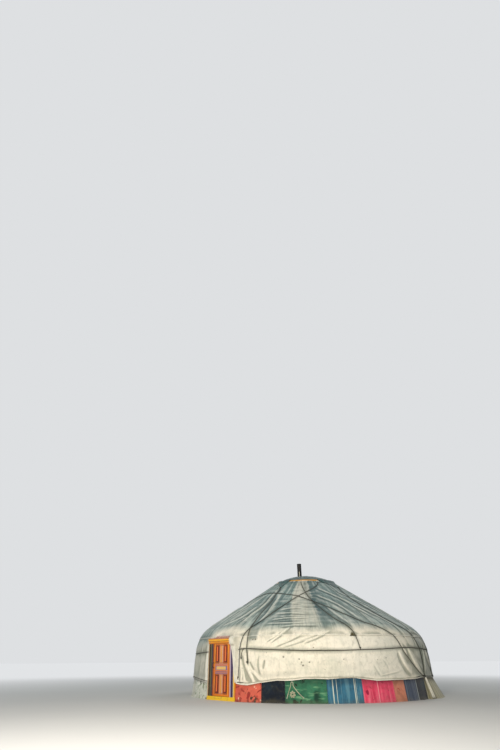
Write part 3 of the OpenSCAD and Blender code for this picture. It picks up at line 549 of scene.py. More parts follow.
# folds seen on the canvas: points (azimuth, s), half width, height, and "ridge" where it is a single ridge
foldList = [
    ([(12.7, 1.15), (13.3, 0.84), (15.6, 0.58), (18, 0.43)], 0.03, 0.016),
    ([(16.1, 0.94), (17.2, 0.81), (18.6, 0.7)], 0.026, 0.013),
    ([(7.6, 1.37), (9.6, 1.01), (9.5, 0.67), (9.7, 0.45)], 0.02, 0.012, "ridge"),
    ([(10.5, 1.01), (11.1, 0.67), (11.1, 0.42)], 0.018, 0.012),
    ([(11.9, 1.1), (12.3, 0.8), (13.2, 0.55), (13.4, 0.4)], 0.02, 0.012, "ridge"),
    ([(14.6, 1.15), (14.9, 0.95), (16.0, 0.74), (19.5, 0.52), (22, 0.47)], 0.03, 0.01),
    ([(23.2, 0.95), (22.5, 0.7)], 0.024, 0.01), ([(20.6, 1.1), (20.2, 0.8), (21.4, 0.58)], 0.022, 0.007),
    ([(24.1, 1.3), (29.4, 1.53), (34.9, 1.84)], 0.022, 0.01),
    ([(26.3, 1.23), (33.6, 1.39), (38.9, 1.55)], 0.022, 0.01),
    ([(22.3, 1.34), (26.8, 1.49), (29.9, 1.66)], 0.02, 0.009),
    ([(38.6, 1.31), (44.8, 1.45), (51.6, 1.65)], 0.022, 0.009),
    ([(34.6, 1.33), (40.7, 1.45), (48.4, 1.59)], 0.02, 0.009),
    ([(29.5, 1.22), (36.5, 1.33), (45.5, 1.5)], 0.016, 0.006),
    ([(67.9, 0.84), (69.6, 0.65), (70.7, 0.56)], 0.022, 0.009), ([(68.9, 0.56), (82.5, 0.67)], 0.012, 0.007),
    ([(72, 1.0), (74.5, 0.8), (75, 0.68)], 0.02, 0.007), ([(98.2, 1.58), (96.7, 1.23)], 0.03, 0.014),
    ([(88.1, 1.22), (91.1, 0.88), (96.6, 0.54)], 0.03, 0.015),
    ([(81.6, 1.15), (83.8, 0.82), (88.4, 0.55)], 0.032, 0.013),
    ([(107.7, 1.37), (107.7, 0.95), (114.1, 0.61)], 0.034, 0.014),
    ([(90.6, 1.1), (94.5, 0.8), (98.0, 0.58)], 0.022, 0.012, "ridge"),
    ([(103.5, 1.3), (102.8, 0.95), (100.6, 0.6)], 0.026, 0.012),
    ([(23.9, 2.64), (32.3, 2.75), (41.1, 2.72)], 0.026, 0.008),
    ([(21.2, 2.39), (31.1, 2.46), (41.9, 2.4)], 0.026, 0.008),
    ([(21.3, 2.08), (32, 2.19), (44.4, 2.15)], 0.024, 0.009),
    ([(20.4, 1.9), (30.9, 1.92), (42.4, 1.93)], 0.024, 0.009),
    ([(27.8, 1.76), (37.5, 1.83), (47.1, 1.81)], 0.022, 0.009),
    ([(24.4, 2.24), (33.1, 2.3), (41, 2.27)], 0.018, 0.006),
    ([(27.4, 2.92), (33.6, 3.0), (42.2, 2.93)], 0.02, 0.006),
    ([(23.3, 2.0), (29, 2.04), (36, 2.02)], 0.018, 0.006),
    ([(51.6, 4.19), (69.6, 3.45), (76, 2.8), (82, 2.0)], 0.034, 0.015),
    ([(65.3, 3.76), (84, 2.52), (89.4, 1.74), (91.6, 1.16)], 0.034, 0.015),
    ([(88.9, 4.18), (109.9, 3.0), (100.6, 1.84), (106.8, 1.61)], 0.034, 0.014),
    ([(48.2, 3.63), (63.3, 2.97), (70.4, 1.95)], 0.03, 0.013),
    ([(51.8, 3.17), (59.4, 2.11), (63.1, 1.68)], 0.026, 0.01),
    ([(3.3, 4.17), (7.4, 3.16), (5.5, 2.51), (4, 2.0)], 0.03, 0.013),
    ([(8.8, 3.5), (6.6, 2.72), (-0.3, 2.02)], 0.028, 0.012),
    ([(1.9, 3.07), (-1.9, 2.34), (-11.1, 1.89)], 0.03, 0.013),
    ([(15.1, 3.58), (16.5, 2.67), (15.4, 1.96)], 0.026, 0.011),
    ([(-12, 3.6), (-18, 2.7), (-22, 1.9)], 0.034, 0.012), ([(-30, 3.7), (-34, 2.6), (-33, 1.8)], 0.034, 0.012),
    ([(-5, 3.9), (-9, 3.1), (-14, 2.3)], 0.03, 0.012),
    ([(96.4, 1.67), (106.8, 1.61), (115.1, 1.18)], 0.03, 0.014),
    ([(75, 3.95), (92, 3.2), (99, 2.4)], 0.034, 0.013),
    ([(-14, 1.4), (-13.2, 1.0), (-13.6, 0.55)], 0.024, 0.01),
    ([(-20, 1.45), (-19, 0.95), (-20.4, 0.5)], 0.028, 0.01),
    ([(-26, 1.3), (-26.5, 0.8), (-24.5, 0.5)], 0.03, 0.01),
    ([(150, 3.8), (158, 2.9), (160, 2.0)], 0.034, 0.012),
    ([(200, 3.9), (208, 2.9), (207, 1.9), (203, 1.3)], 0.034, 0.013),
    ([(235, 3.7), (229, 2.6), (231, 1.8)], 0.034, 0.012), ([(265, 3.8), (277, 2.7), (280, 1.8)], 0.034, 0.013),
    ([(130, 3.7), (124, 2.6), (127, 1.7)], 0.032, 0.012), ([(178, 3.5), (183, 2.4), (181, 1.8)], 0.03, 0.012),
    ([(140, 1.2), (144, 0.85), (143, 0.52)], 0.03, 0.013), ([(165, 1.25), (161, 0.8), (163, 0.5)], 0.03, 0.012),
    ([(215, 1.2), (219, 0.8), (222, 0.5)], 0.03, 0.013), ([(250, 1.2), (246, 0.85), (248, 0.5)], 0.028, 0.012),
    ([(285, 1.25), (290, 0.85), (288, 0.5)], 0.03, 0.013), ([(310, 1.2), (307, 0.8), (311, 0.5)], 0.03, 0.012)]
# seams between the panels of canvas, from the crown to the hem
roofSeams = [[(29.1, 4.4), (29.1, 3.54), (31.6, 2.6), (35.2, 1.75), (36, 1.52)],
             [(44.9, 4.4), (44.9, 3.90), (46.2, 2.8), (47.3, 1.75), (47.6, 1.52)]]
roofSeams += [[(a, 4.45), (a + 1.5, 3.0), (a + 0.6, 1.9), (a + 1.0, 1.52)] for a in (4, 74, 102, 130,
        158, 186, 214, 242, 270, 298, 326)]
wallSeams = [[(60.3, 1.6), (60.3, 1.44), (59, 1.14), (58.5, 0.8), (58.3, 0.47)]]
wallSeams += [[(a, 1.6), (a + 0.5, 1.1), (a - 0.4, 0.5)] for a in (135, 172, 209, 246, 283, 318)]


def foldScale(points):  # factors of width and height: broad by the door and round the right side
    az, s = (sum(p[k] for p in points) / len(points) for k in (0, 1))
    if s > 1.35:
        return (1.5, 0.6) if 55 < az < 116 else (1.3, 0.95)
    if 60 < az < 79:
        return 1.7, 0.55
    return (2.1, 1.7) if 8 < az < 17 or 79 < az < 116 else (1.6, 1.1)


folds = []
for points, width, height, *kind in foldList:
    widthScale, heightScale = foldScale(points)
    folds.append((smoothPath(radians(points), 6), width * widthScale, height * heightScale, kind))
seamPaths = {"roof": [smoothPath(radians(p), 6) for p in roofSeams],
             "wall": [smoothPath(radians(p), 6) for p in wallSeams]}


def foldLift(az, s):
    total = np.zeros(np.broadcast(az, s).shape)
    for path, width, height, kind in folds:
        d, side, along = pathField(az, s, path)
        ends = ease(along, 0, 0.22) * (1 - ease(along, 0.72, 1.0))
        d = d * side / width
        if kind:  # a single ridge
            shape = bell(d, 0.8) - 0.25 * bell(d, 2.2)
        else:  # a pair: a ridge with a hollow beside it
            shape = 1.25 * (bell(d - 0.75, 0.8) - 0.85 * bell(d + 0.75, 0.8))
        total = total + height * ends * shape
    return total


def ropeDistance(az, s, belly=True):
    nearest = np.full(np.broadcast(az, s).shape, 9.0)
    for half in ropeLines.values():
        for path in half.values():
            nearest = np.minimum(nearest, pathField(az, s, path[::2] if len(path) > 20 else path)[0])
    if belly:
        nearest = np.minimum(nearest, np.abs(s - bellyS(az)))
    return nearest


def seamLift(az, s, which):
    total = np.zeros(np.broadcast(az, s).shape)
    for path in seamPaths[which]:
        d, side, along = pathField(az, s, path)
        total += 0.0035 * bell(d, 0.03) * (0.4 + 0.6 * (side > 0)) + 0.002 * (side > 0) * bell(d, 0.09)
    return total


def roofLift(az, s):
    left = np.clip(1.2 - np.abs(turnedBack(az) - math.radians(-25)) / 0.8, 0, 1)
    middle = bell(turnedBack(az) - math.radians(34), 0.24)
    thin = ease(s, 4.5, 2.5) * 0.5 + 0.5
    downSlope = 1 - np.abs(flow(az, s, 1.5, 0.42, 11)) * 2.4
    cross = 1 - np.abs(flow(az, s, 0.8, 4.6, 23)) * 2.6
    small = flow(az, s, 4.2, 3.4, 31, 3)
    lift = 0.006 * downSlope * (0.75 + 0.6 * left) * (1 - 0.75 * middle) * thin
    lift += 0.006 * cross * (0.35 + 0.9 * middle) * thin
    lift += 0.0035 * small + 0.006 * flow(az, s, 0.5, 0.6, 41)
    tension = 1 - np.abs(flow(az, s, 2.6, 0.18, 51, 1)) * 2.2
    lift += 0.005 * tension * ease(s, 3.2, 4.4)
    return lift


def wallLift(az, s):
    lift = 0.006 * (1 - np.abs(flow(az, s, 1.1, 0.55, 61)) * 2.2) + 0.0028 * flow(az, s, 3.2, 2.4, 71, 3)
    below = bellyS(az) - s
    pleats = (1 - np.abs(flow(az, s, 4.6, 0.9, 81)) * 2.5) * np.clip(0.35 + flow(az, 0 * s, 1.4, 1, 83), 0, 1)
    lift += 0.0048 * pleats * (ease(below, 0.0, 0.05) * bell(below, 0.2) + 0.5 * bell(s - 0.5, 0.09))
    lift += 0.007 * ease(below, 0.0, 0.2) * (1 - ease(below, 0.42, 0.66))
    return lift


def coverLift(az, s):  # all lifts of the outer surface, for cloth and ropes alike
    rope = ropeDistance(az, s)
    held = bell(rope, 0.05)
    onRoof = ease(s, 1.45, 1.56)
    lift = onRoof * roofLift(az, s) + (1 - onRoof) * wallLift(az, s) + foldLift(az, s)
    lift += onRoof * seamLift(az, s, "roof") + (1 - onRoof) * seamLift(az, s, "wall")
    lift += 0.006 * ease(rope, 0.03, 0.22)
    return np.clip(lift * (1 - 0.85 * held) - 0.004 * bell(rope, 0.016), -0.009, 0.045)


print("cover shape ready")


def flowVector(tree, around, up):
    parts = [attributeValue(tree, key) for key in ("flowX", "flowY", "flowZ")]
    vector = put(tree, "ShaderNodeCombineXYZ", {0: parts[0], 1: parts[1], 2: parts[2]}).outputs[0]
    return stretched(tree, vector, (around, around, up))


def creases(tree, vector, width, detail=3.0, distortion=0.7):  # thin lines where a noise crosses its middle
    value = texture(tree, vector, 1.0, detail, 0.5, distortion)
    return span(tree, apart(tree, value, 0.5), width, 0.0)


def canvasMaterial(name, colours):
    material, tree, shader = startMaterial(name, roughness=0.8, specular=0.22, sheen=0.12)
    tone, hollow, ridge, across = (attributeValue(tree, key) for key in ("tone", "hollow", "ridge", "across"))
    streaks = texture(tree, flowVector(tree, 5.5, 0.55), 1.0, 6.0, 0.62, 0.5)
    threads = texture(tree, flowVector(tree, 16.0, 1.6), 1.0, 5.0, 0.62, 0.6)
    stripes = texture(tree, flowVector(tree, 0.9, 5.0), 1.0, 6.0, 0.6, 0.6)
    down = creases(tree, flowVector(tree, 4.6, 0.8), 0.030)
    sideways = creases(tree, flowVector(tree, 1.0, 7.5), 0.032)
    crumple = creases(tree, flowVector(tree, 3.4, 3.4), 0.018, 4.0, 1.4)
    lines = plus(tree, times(tree, sideways, across), times(tree, down, minus(tree, 1.0, across)))
    lines = math2(tree, "MAXIMUM", times(tree, lines, 0.8), times(tree, crumple, 0.5))
    # tone: the teal of the roof, partly the canvas's own tint and partly painted shade
    toneMask = times(tree, tone, span(tree, streaks, 0.22, 0.5, 0.72, 1.0))
    base = mix(tree, toneMask, colours["cream"], colours["teal"])
    base = mix(tree, times(tree, span(tree, streaks, 0.53, 0.66, 0.0, 0.72), tone), base, colours["bleached"])
    base = mix(tree, times(tree, span(tree, threads, 0.48, 0.64, 0.0, 0.66), tone), base, colours["deep"])
    base = mix(tree, times(tree, span(tree, stripes, 0.5, 0.7, 0.0, 0.34), tone), base, colours["deep"])
    base = mix(tree, attributeValue(tree, "patch"), base, colours["deep"])
    base = mix(tree, span(tree, stripes, 0.50, 0.74, 0.0, 0.4), base, mix(tree, tone, colours["tinge"], base))
    shade = mix(tree, tone, colours["shadow"], colours["roofShadow"])
    # painted shade in the hollows and along the crease lines, and a painted highlight on the ridges
    base = mix(tree, times(tree, hollow, 0.66), base, shade)
    base = mix(tree, times(tree, ridge, span(tree, tone, 0.0, 1.0, 0.15, 0.55)), base, colours["white"])
    base = mix(tree, times(tree, lines, span(tree, tone, 0.0, 1.0, 0.16, 0.40)), base, shade)
    # pale: whiter edges of the canvas, and a painted pool of light on the wall
    base = mix(tree, attributeValue(tree, "pale"), base, colours["white"])
    # darkened by dirt spots, along the ropes, and by a painted shadow down one side of the tail
    base = mix(tree, attributeValue(tree, "soilAndShade"), base, colours["soilAndShade"])
    useCloth(tree, shader, base, colours["soilAndShade"], 0.2, 0.42, 1.7, 62.0, 0.016, 0.7, lines)
    return material


canvas = canvasMaterial("canvas", {
    "cream": linear(240, 231, 210), "teal": linear(118, 144, 138), "bleached": linear(198, 210, 198),
    "deep": linear(60, 94, 94), "tinge": linear(212, 211, 186), "shadow": linear(116, 122, 102),
    "roofShadow": linear(36, 60, 62), "white": linear(246, 242, 228), "soilAndShade": linear(78, 72, 42)})

# s at which the cream of the wall turns to the teal of the roof, by azimuth; the teal is partly the canvas's own
# tint and partly painted shade for a roof turned away from the light
toneTable = [(-180, 1.62), (-60, 1.35), (-28, 1.24), (-17, 1.34), (-9, 1.62), (2, 1.78), (20, 1.68), (34, 1.67),
             (47, 1.61), (60, 1.68), (69, 1.75), (80, 1.66), (94, 1.58), (110, 1.5), (180, 1.62)]


def between(az, s, left, right, blur=0.012):  # mask between two edges given as (azimuth, s) lists
    a = turnedBack(az)
    edges = []
    for points in (left, right):
        p = np.array(sorted(points, key=lambda q: q[1]))
        edges.append(np.interp(s, p[:, 1], np.radians(p[:, 0])))
    return ease(a - edges[0], -blur, blur) * (1 - ease(a - edges[1], -blur, blur))


# dirt spots: azimuth, s and size
spotList = [(30.8, 1.0, 0.030), (37.1, 0.95, 0.020), (38, 0.88, 0.022), (38.5, 0.81, 0.026),
            (41.1, 0.88, 0.018), (37.8, 0.84, 0.012), (43.1, 1.21, 0.013), (54.9, 0.94, 0.018),
            (69.7, 0.93, 0.013),
            (74.1, 0.97, 0.015), (77.3, 0.94, 0.012), (14.3, 0.89, 0.022), (18, 1.43, 0.028),
            (16.6, 1.43, 0.024), (12.2, 0.75, 0.014), (23.5, 1.1, 0.010), (47.0, 0.72, 0.011),
            (33.2, 1.18, 0.012),
            (31.5, 0.66, 0.012), (62.5, 1.0, 0.010), (150, 0.9, 0.026), (158, 1.05, 0.018), (205, 0.8, 0.022),
            (232, 1.0, 0.02), (262, 0.9, 0.026), (265, 0.86, 0.016), (300, 1.0, 0.022), (325, 0.8, 0.02)]


def within(a, degrees):  # 1 between the second and the third direction, with soft sides
    a0, a1, a2, a3 = (math.radians(d) for d in degrees)
    return ease(a, a0, a1) * (1 - ease(a, a2, a3))


def canvasLook(az, s, lift, near, far, depth):  # near and far are reaches in grid points
    a = turnedBack(az)
    # low is how far a point lies below its blurred neighbours: it becomes painted shade in the hollows and a
    # painted highlight on the ridges
    low = 0.2 * (blurred(lift, near) - lift) / 0.0013 + 0.95 * blurred(blurred(lift, far) - lift, near) / depth
    edge = level(toneTable, np.degrees(a)) + 0.06 * flow(az, s * 0, 1.5, 1, 91)
    tone = ease(s, edge - 0.08, edge + 0.26) * (0.82 + 0.18 * ease(s, 2.2, 3.6))
    onWall = 1 - ease(s, 1.6, 1.9)
    # the pale panel, and darker patches beside it, below the ropes and on the walls
    wedge = between(az, s, [(29.1, 4.4), (29.1, 3.54), (35.2, 1.67)], [(44.9, 4.4), (44.9, 3.9), (47.3, 1.67)])
    tone = tone * (1 - 0.62 * wedge * ease(s, 1.5, 1.9) * (1 - 0.4 * ease(s, 2.2, 1.8)))
    right = between(az, s, [(44.9, 4.4), (44.9, 3.9), (47.3, 1.67)], [(58, 4.4), (56, 3.6), (56, 2.4),
            (50, 1.7)], 0.02)
    patch = 0.85 * right * ease(s, 1.62, 1.8) * (0.7 + 0.5 * flow(az, s, 1.2, 1.6, 95))
    strip = between(az, s, [(14.3, 3.12), (14.4, 1.96), (14.2, 1.39)],
                    [(14.6, 3.12), (19.3, 1.94), (18.2, 1.39)])
    patch += 0.7 * strip * ease(s, 1.34, 1.50) * (1 - ease(s, 2.9, 3.12))
    # painted shade: the wall darker round the right side, from 90 to 150 degrees, where the light falls off
    patch += 0.62 * within(a, (90, 103, 122, 150)) * (1 - ease(s, 1.4, 1.7)) * (0.8 + 0.6 * flow(az,
            s, 2.0, 0.8, 99))
    patch += 0.42 * within(a, (-60, -30, -14, -8)) * (1 - ease(s, 1.5, 1.8))
    left = between(az, s, [(19, 3.9), (19, 2.6), (22, 1.8)], [(29.1, 3.9), (29.1, 3.54), (35.2, 1.7)], 0.03)
    patch += 0.5 * left * ease(s, 1.7, 2.1) * np.clip(0.5 + 1.1 * flow(az, s, 1.0, 1.4, 93), 0, 1)
    patch += 0.8 * np.clip(1.5 * flow(az, s, 1.6, 0.6, 89) - 0.25, 0, 1) * ease(s, 2.0, 2.5)
    soilAndShade = np.zeros(lift.shape)
    ragged = flow(az, s, 14, 14, 97, 2)
    for spotAz, spotS, size in spotList:
        d = np.hypot(turnedBack(az - math.radians(spotAz)) * coverRadius(s), (s - spotS) * 1.25)
        soilAndShade = np.maximum(soilAndShade, 0.85 * (1 - ease(d + 0.5 * size * ragged, size * 0.5, size * 1.35)))
    # a small dark triangle where rope f ends
    darkTriangle = between(az, s, [(60.4, 1.6), (58.9, 1.48)], [(60.8, 1.6), (62.6, 1.48)], 0.002)
    rope = ropeDistance(az, s)
    soilAndShade = np.maximum(soilAndShade, darkTriangle * ease(s, 1.485, 1.5) * (1 - ease(s, 1.59, 1.61)))
    # a little darker along the ropes
    soilAndShade = np.maximum(soilAndShade, 0.3 * bell(rope, 0.02))
    # the canvas is drawn in on both sides of the rope to the tail: its pleats are painted as bands of shade and
    # highlight, not shaped
    fromB, sideB, _ = pathField(az, s, ropeLines["front"]["b"])
    fromB = fromB * sideB
    pleats = [(-0.13, 0.75, 0.11), (0.045, -0.9, 0.03), (0.13, 0.8, 0.05), (0.22, -0.5, 0.04),
              (0.33, 0.6, 0.07)]
    drawnIn = ease(a, math.radians(80), math.radians(86)) * (1 - ease(s, 1.25, 1.5))
    low = low + drawnIn * sum(weight * bell(fromB - at, width) for at, weight, width in pleats)
    flat = 0 * lift
    return {"tone": tone, "patch": np.clip(patch, 0, 1), "soilAndShade": soilAndShade,
            # hollow: painted shade in the hollows and beside the ropes; ridge: a painted highlight on the ridges
            "hollow": np.clip(low + 0.2 * bell(rope - 0.02, 0.03), 0, 1), "ridge": np.clip(-low, 0, 1),
            "across": ease(s, 1.7, 2.1) * bell(a - math.radians(34), 0.26),
            # pale: a painted pool of light on the wall from 45 to 87 degrees
            "pale": 0.3 * within(a, (45, 62, 79, 87)) * onWall + flat, **flowValues(az, s, flat)}


def flowValues(az, s, flat):
    return {"flowX": flowRadius * np.cos(az) + flat, "flowY": flowRadius * np.sin(az) + flat, "flowZ": s + flat}


def tucked(az, s, lift, tucks, across, look, seam=0):
    # sheet on the cover with its lower edge turned in: each tuck is how far up and in its row lies
    inner = [coverPoint(az[:, :1], s[:, :1] + up, lift[:, :1] - down) for up, down in tucks]
    points = np.concatenate(inner + [coverPoint(az, s, lift + seam)], axis=1)
    uv = np.stack([az * across, s], axis=-1)
    uv, *values = (np.concatenate([part[:, :1]] * 3 + [part], axis=1) for part in (uv, *look.values()))
    return points, uv, dict(zip(look, values))


def coarse(values):
    return values


def hemWave(az):  # how the hem of the roof canvas rises and falls
    held = bell(ropeDistance(az, 0 * az + cover["roofHem"], False), 0.12)
    return 0.007 * flow(az, 0 * az, 2.4, 1, 101) - 0.010 * held


# roof canvas
roofColumns = np.radians(np.concatenate([np.arange(-50, 118, 0.36), np.arange(118, 310, 0.71)]))
roofLength = cover["roofTop"] - cover["roofHem"]
roofRows = np.concatenate([np.linspace(0, 0.49, 22)[:-1], np.linspace(0.49, roofLength, 106),
                           roofLength + np.array([0.016, 0.032, 0.048, 0.062])])
roofColumns, roofRows = coarse(roofColumns), coarse(roofRows)
az, rise = np.meshgrid(roofColumns, roofRows, indexing="ij")
s = cover["roofHem"] + rise + hemWave(az) * (1 - ease(rise, 0, 0.25))
lift = coverLift(az, s)
lift += 0.0022 * (1 - ease(rise, 0.038, 0.046)) - 0.0012 * bell(rise - 0.034, 0.006)
lift += 0.006 * bell(rise, 0.03) * (0.6 + 0.8 * flow(az, 0 * az, 5.0, 1, 103))
collar = ease(s, cover["roofTop"] - 0.02, cover["roofTop"] + 0.06)
lift += collar * (0.008 + 0.012 * flow(az, 0 * az, 5.0, 1, 105))
for at, height, width in ((64.5, 0.016, 0.05), (-25, 0.014, 0.06)):  # folds that stand up at the crown
    lift += collar * height * bell(turnedBack(az) - math.radians(at), width)
look = canvasLook(az, s, lift, (2, 1), (10, 4), 0.0040)
look["pale"] = 0.35 * (1 - ease(rise, 0.03, 0.05))
points, uv, look = tucked(az, s, lift, ((0.036, 0.0045), (0.012, 0.004), (0.001, 0.002)), 3.5, look)
roofCanvas = clothObject("roofCanvas", [(points, uv, True, look)], canvas)
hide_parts("roof_canvas")
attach(roofCanvas, "yurt")
print("roof canvas:", len(roofCanvas.data.polygons), "faces")

# wall canvas, in two sheets that meet at a seam beside the tail
hemTable = [(-180, 0.47), (-150, 0.44), (-110, 0.49), (-70, 0.46), (-28, 0.47), (-18, 0.43), (-9, 0.385),
            (9, 0.40), (11.5, 0.378), (15, 0.366), (21, 0.428), (28, 0.476), (34, 0.478), (39, 0.512),
                     (43, 0.52), (48, 0.51), (53, 0.528), (59, 0.534), (63, 0.5), (68, 0.468), (80, 0.472),
                     (90, 0.478), (95, 0.5), (104, 0.49), (130, 0.46), (150, 0.485), (180, 0.47)]


def hemHeight(az):
    return level(hemTable, np.degrees(turnedBack(az))) + 0.007 * flow(az, 0 * az, 1.8, 1,
            111) + 0.004 * flow(az, 0 * az, 6, 1, 113)


def wallGrid(start, end, step, rowCount):
    columns = np.radians(np.linspace(start, end, int((end - start) / step) + 2))
    rows = np.linspace(0, 1, rowCount)
    az, v = np.meshgrid(coarse(columns),
                        coarse(rows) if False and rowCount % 2 else rows, indexing="ij")
    hem = hemHeight(az)
    s = hem + (cover["wallTop"] - hem) * v
    lift = coverLift(az, s)
    rise = s - hem
    lift += (0.012 + 0.012 * flow(az, 0 * az, 3.0, 1, 115)) * bell(rise,
            0.10) * (1 - 0.8 * bell(rise - 0.03, 0.02))
    lift += 0.002 * (1 - ease(rise, 0.03, 0.036))
    edge = np.minimum(np.abs(az - columns[0]), np.abs(az - columns[-1])) * cover["wallRadius"]
    lift += 0.003 * bell(edge, 0.02) - 0.0015 * bell(edge - 0.036, 0.006)
    lift = np.maximum(lift, 0.004 - 0.013 * ease(s, 0.57, 0.66))  # clear of the skirt cloths under the hem
    look = canvasLook(az, s, lift, (3, 3), (15, 14), 0.0062)
    fromDoor = (np.abs(turnedBack(az)) - math.radians(cover["doorEdge"])) * cover["wallRadius"]
    strip = 1 - np.where(turnedBack(az) < 0, ease(fromDoor, 0.20, 0.23), ease(fromDoor, 0.07, 0.10))
    look["pale"] = np.clip(look["pale"] + 0.95 * strip + 0.3 * (1 - ease(rise, 0.02, 0.04)), 0, 1)
    tucks = ((0.03, 0.006), (0.010, 0.005), (0.0, 0.002))
    points, uv, look = tucked(az, s, lift - cover["wallIn"], tucks, cover["wallRadius"], look)
    return points, uv, False, look


flap = {"free": [(0.42, 0.590), (0.52, 0.578), (0.66, 0.560), (0.8, 0.543), (0.95, 0.520), (1.1, 0.488),
                 (1.22, 0.458), (1.33, 0.425), (1.42, 0.405), (1.5, 0.43)], "front": 3.780, "cornice": 3.840,
                 "across": 26, "rows": 92,
        "foot": 0.42, "top": 1.5, "wallX": 0.645}


def flapGrid():  # from the wall canvas round the side of the frame and over its front
    heights = np.linspace(flap["foot"], flap["top"], flap["rows"])
    v, z = np.meshgrid(np.linspace(0, 1, flap["across"]), heights, indexing="ij")
    free = level(flap["free"], z) + 0.006 * noise(z * 9, 0 * z, 0 * z, 121)
    x = free + (flap["wallX"] - free) * v
    wallAz = np.arcsin(flap["wallX"] / 3.72) + 0 * z
    onWall = coverPoint(wallAz, z, coverLift(wallAz, z) - 0.004)
    wallY = -np.sqrt(np.maximum(onWall[..., 0] ** 2 + onWall[..., 1] ** 2 - x ** 2, 0)) - 0.004
    proud = flap["front"] + (flap["cornice"] - flap["front"]) * ease(z, 1.27,
            1.33) * (1 - ease(z, 1.47, flap["top"]))
    frontY = -proud - 0.006 * bell(x - free, 0.02) + 0.003 * noise(x * 30, z * 7, 0 * z, 123)
    side = ease(x, 0.585, 0.64)
    y = frontY * (1 - side) + wallY * side
    lift = 0.006 * (1 - 2.2 * np.abs(noise(x * 10 + z * 5, z * 1.2, 0 * z, 125))) * (1 - bell(v - 1, 0.2))
    points = np.stack([x, y - lift, z], axis=-1)
    az = np.arctan2(x, -y)
    look = canvasLook(az, z, lift, (1, 2), (5, 9), 0.0036)
    look["soilAndShade"], look["pale"] = 0 * z, 0.35 * (1 - ease(v, 0.5, 0.9))
    # painted shade where the flap turns round the side of the frame
    look["hollow"] = np.clip(look["hollow"] + 0.5 * bell(x - 0.605, 0.02), 0, 1)
    return points, np.stack([x, z], axis=-1), False, look


wallSheets = {"wallCanvasRight": ("wall_canvas_right", cover["doorEdge"], cover["wallSeam"] - 0.02, 0.2,
                                  101, (5.81, 1.2)),
              "wallCanvasLeft": ("wall_canvas_left", cover["wallSeam"] + 0.02, 360 - cover["doorEdge"],
                                 0.34, 65, (16.5, 1.2))}
for name, (node, start, end, step, rowCount, flat) in wallSheets.items():
    grids = [wallGrid(start, end, step, rowCount)] + ([flapGrid()] if name == "wallCanvasRight" else [])
    sheet = clothObject(name, grids, canvas)
    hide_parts(node)
    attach(sheet, "yurt")
    print(name + ":", len(sheet.data.polygons), "faces")

# skirt cloths round the foot of the wall
skirtShape = {"top": 0.56, "hem": 0.47, "hemRadius": 3.7534, "step": 0.26, "rows": 26, "flareStart": 98.0,
              "flareEnd": 130.0, "flare": 0.21}


def skirtPoint(az, z, lift):
    start, end = math.radians(skirtShape["flareStart"]), math.radians(skirtShape["flareEnd"])
    a, hem = turnedBack(az), skirtShape["hem"]
    flare = np.clip(np.sin(np.pi * (a - start) / (end - start)), 0, 1) ** 0.7 * ((a > start) & (a < end))
    low = cover["baseRadius"] + skirtShape["flare"] * flare
    lower = low + (skirtShape["hemRadius"] - low) * np.minimum(z, hem) / hem
    r = np.where(z < hem, lower, skirtShape["hemRadius"] - (z - hem) * 0.042)
    return around(r + lift, az, z)


def skirtGrid(start, end, seed, puff):
    columns = np.radians(np.linspace(start + 0.02, end - 0.02, int((end - start) / skirtShape["step"]) + 3))
    rows = np.concatenate([[0, 0.006], np.linspace(0.02, skirtShape["top"], skirtShape["rows"])])
    az, z = np.meshgrid(columns, rows, indexing="ij")
    free = 1 - ease(z, 0.05, 0.5)
    hang = 1 - np.abs(flow(az, z, 2.2, 0.5, seed)) * 2.2
    small = flow(az, z, 7.0, 3.0, seed + 3, 3)
    lift = (0.002 + puff * 0.012 * hang + 0.0035 * small) * (0.25 + 0.75 * free) - 0.002
    lift += 0.016 * bell(z, 0.03) * (0.5 + 0.7 * flow(az, 0 * az, 4, 1, seed + 5))
    edge = np.minimum(az - columns[0], columns[-1] - az) * cover["baseRadius"]
    lift += 0.0035 * bell(edge, 0.012) + 0.006 * bell(edge, 0.05) * free * flow(az * 0 + seed, z,
            1, 7, seed + 7)
    lift = np.clip(lift, -0.004 + 0 * z, 0.004 + 0.028 * free)
    lift[:, 0] += 0.012
    points = skirtPoint(az, z, lift)
    u = (az - columns[0]) * cover["baseRadius"]
    width = (columns[-1] - columns[0]) * cover["baseRadius"]
    # hollow is painted shade in the hollows of the hang, under a painted shadow below the canvas hem, ground dust
    # at the foot
    look = {"across": u / width, "edge": 1 - ease(edge, 0.004, 0.02),
            "hollow": np.clip(-hang * 0.5, 0, 1) * free,
            "under": ease(z, 0.33, 0.47),
            "ground": 1 - ease(z + 0.05 * flow(az, 0 * az, 5, 1, seed + 9), 0.01, 0.10)}
    return points, np.stack([u + seed, z], axis=-1), False, look


def skirtMaterial(name, base, deep, pattern):
    material, tree, shader = startMaterial(name, roughness=0.86, specular=0.18, sheen=0.2)
    sheet, position = uvVector(tree), objectVector(tree)
    colour = mix(tree, span(tree, texture(tree, position, 4.2, 6.0, 0.6, 0.5), 0.42, 0.68, 0.0,
                            0.7), base, deep)
    colour = pattern(tree, colour, sheet, position)
    # painted shade in the hollows, and a painted shadow under the canvas hem
    colour = mix(tree, attributeValue(tree, "hollow"), colour, tinted(tree, colour, 0.45, 0.45, 0.5))
    under, edge, ground = (times(tree, attributeValue(tree, key), share)
                           for key, share in (("under", 0.6), ("edge", 0.45), ("ground", 0.42)))
    colour = mix(tree, under, colour, tinted(tree, colour, 0.2, 0.2, 0.24))
    colour = mix(tree, edge, colour, deep)
    colour = mix(tree, ground, colour, mix(tree, 0.5, colour, linear(112, 104, 74)))
    useCloth(tree, shader, colour, linear(96, 88, 60), 0.3, 0.3, 0.8, 70.0, 0.01, 0.5)
    return material


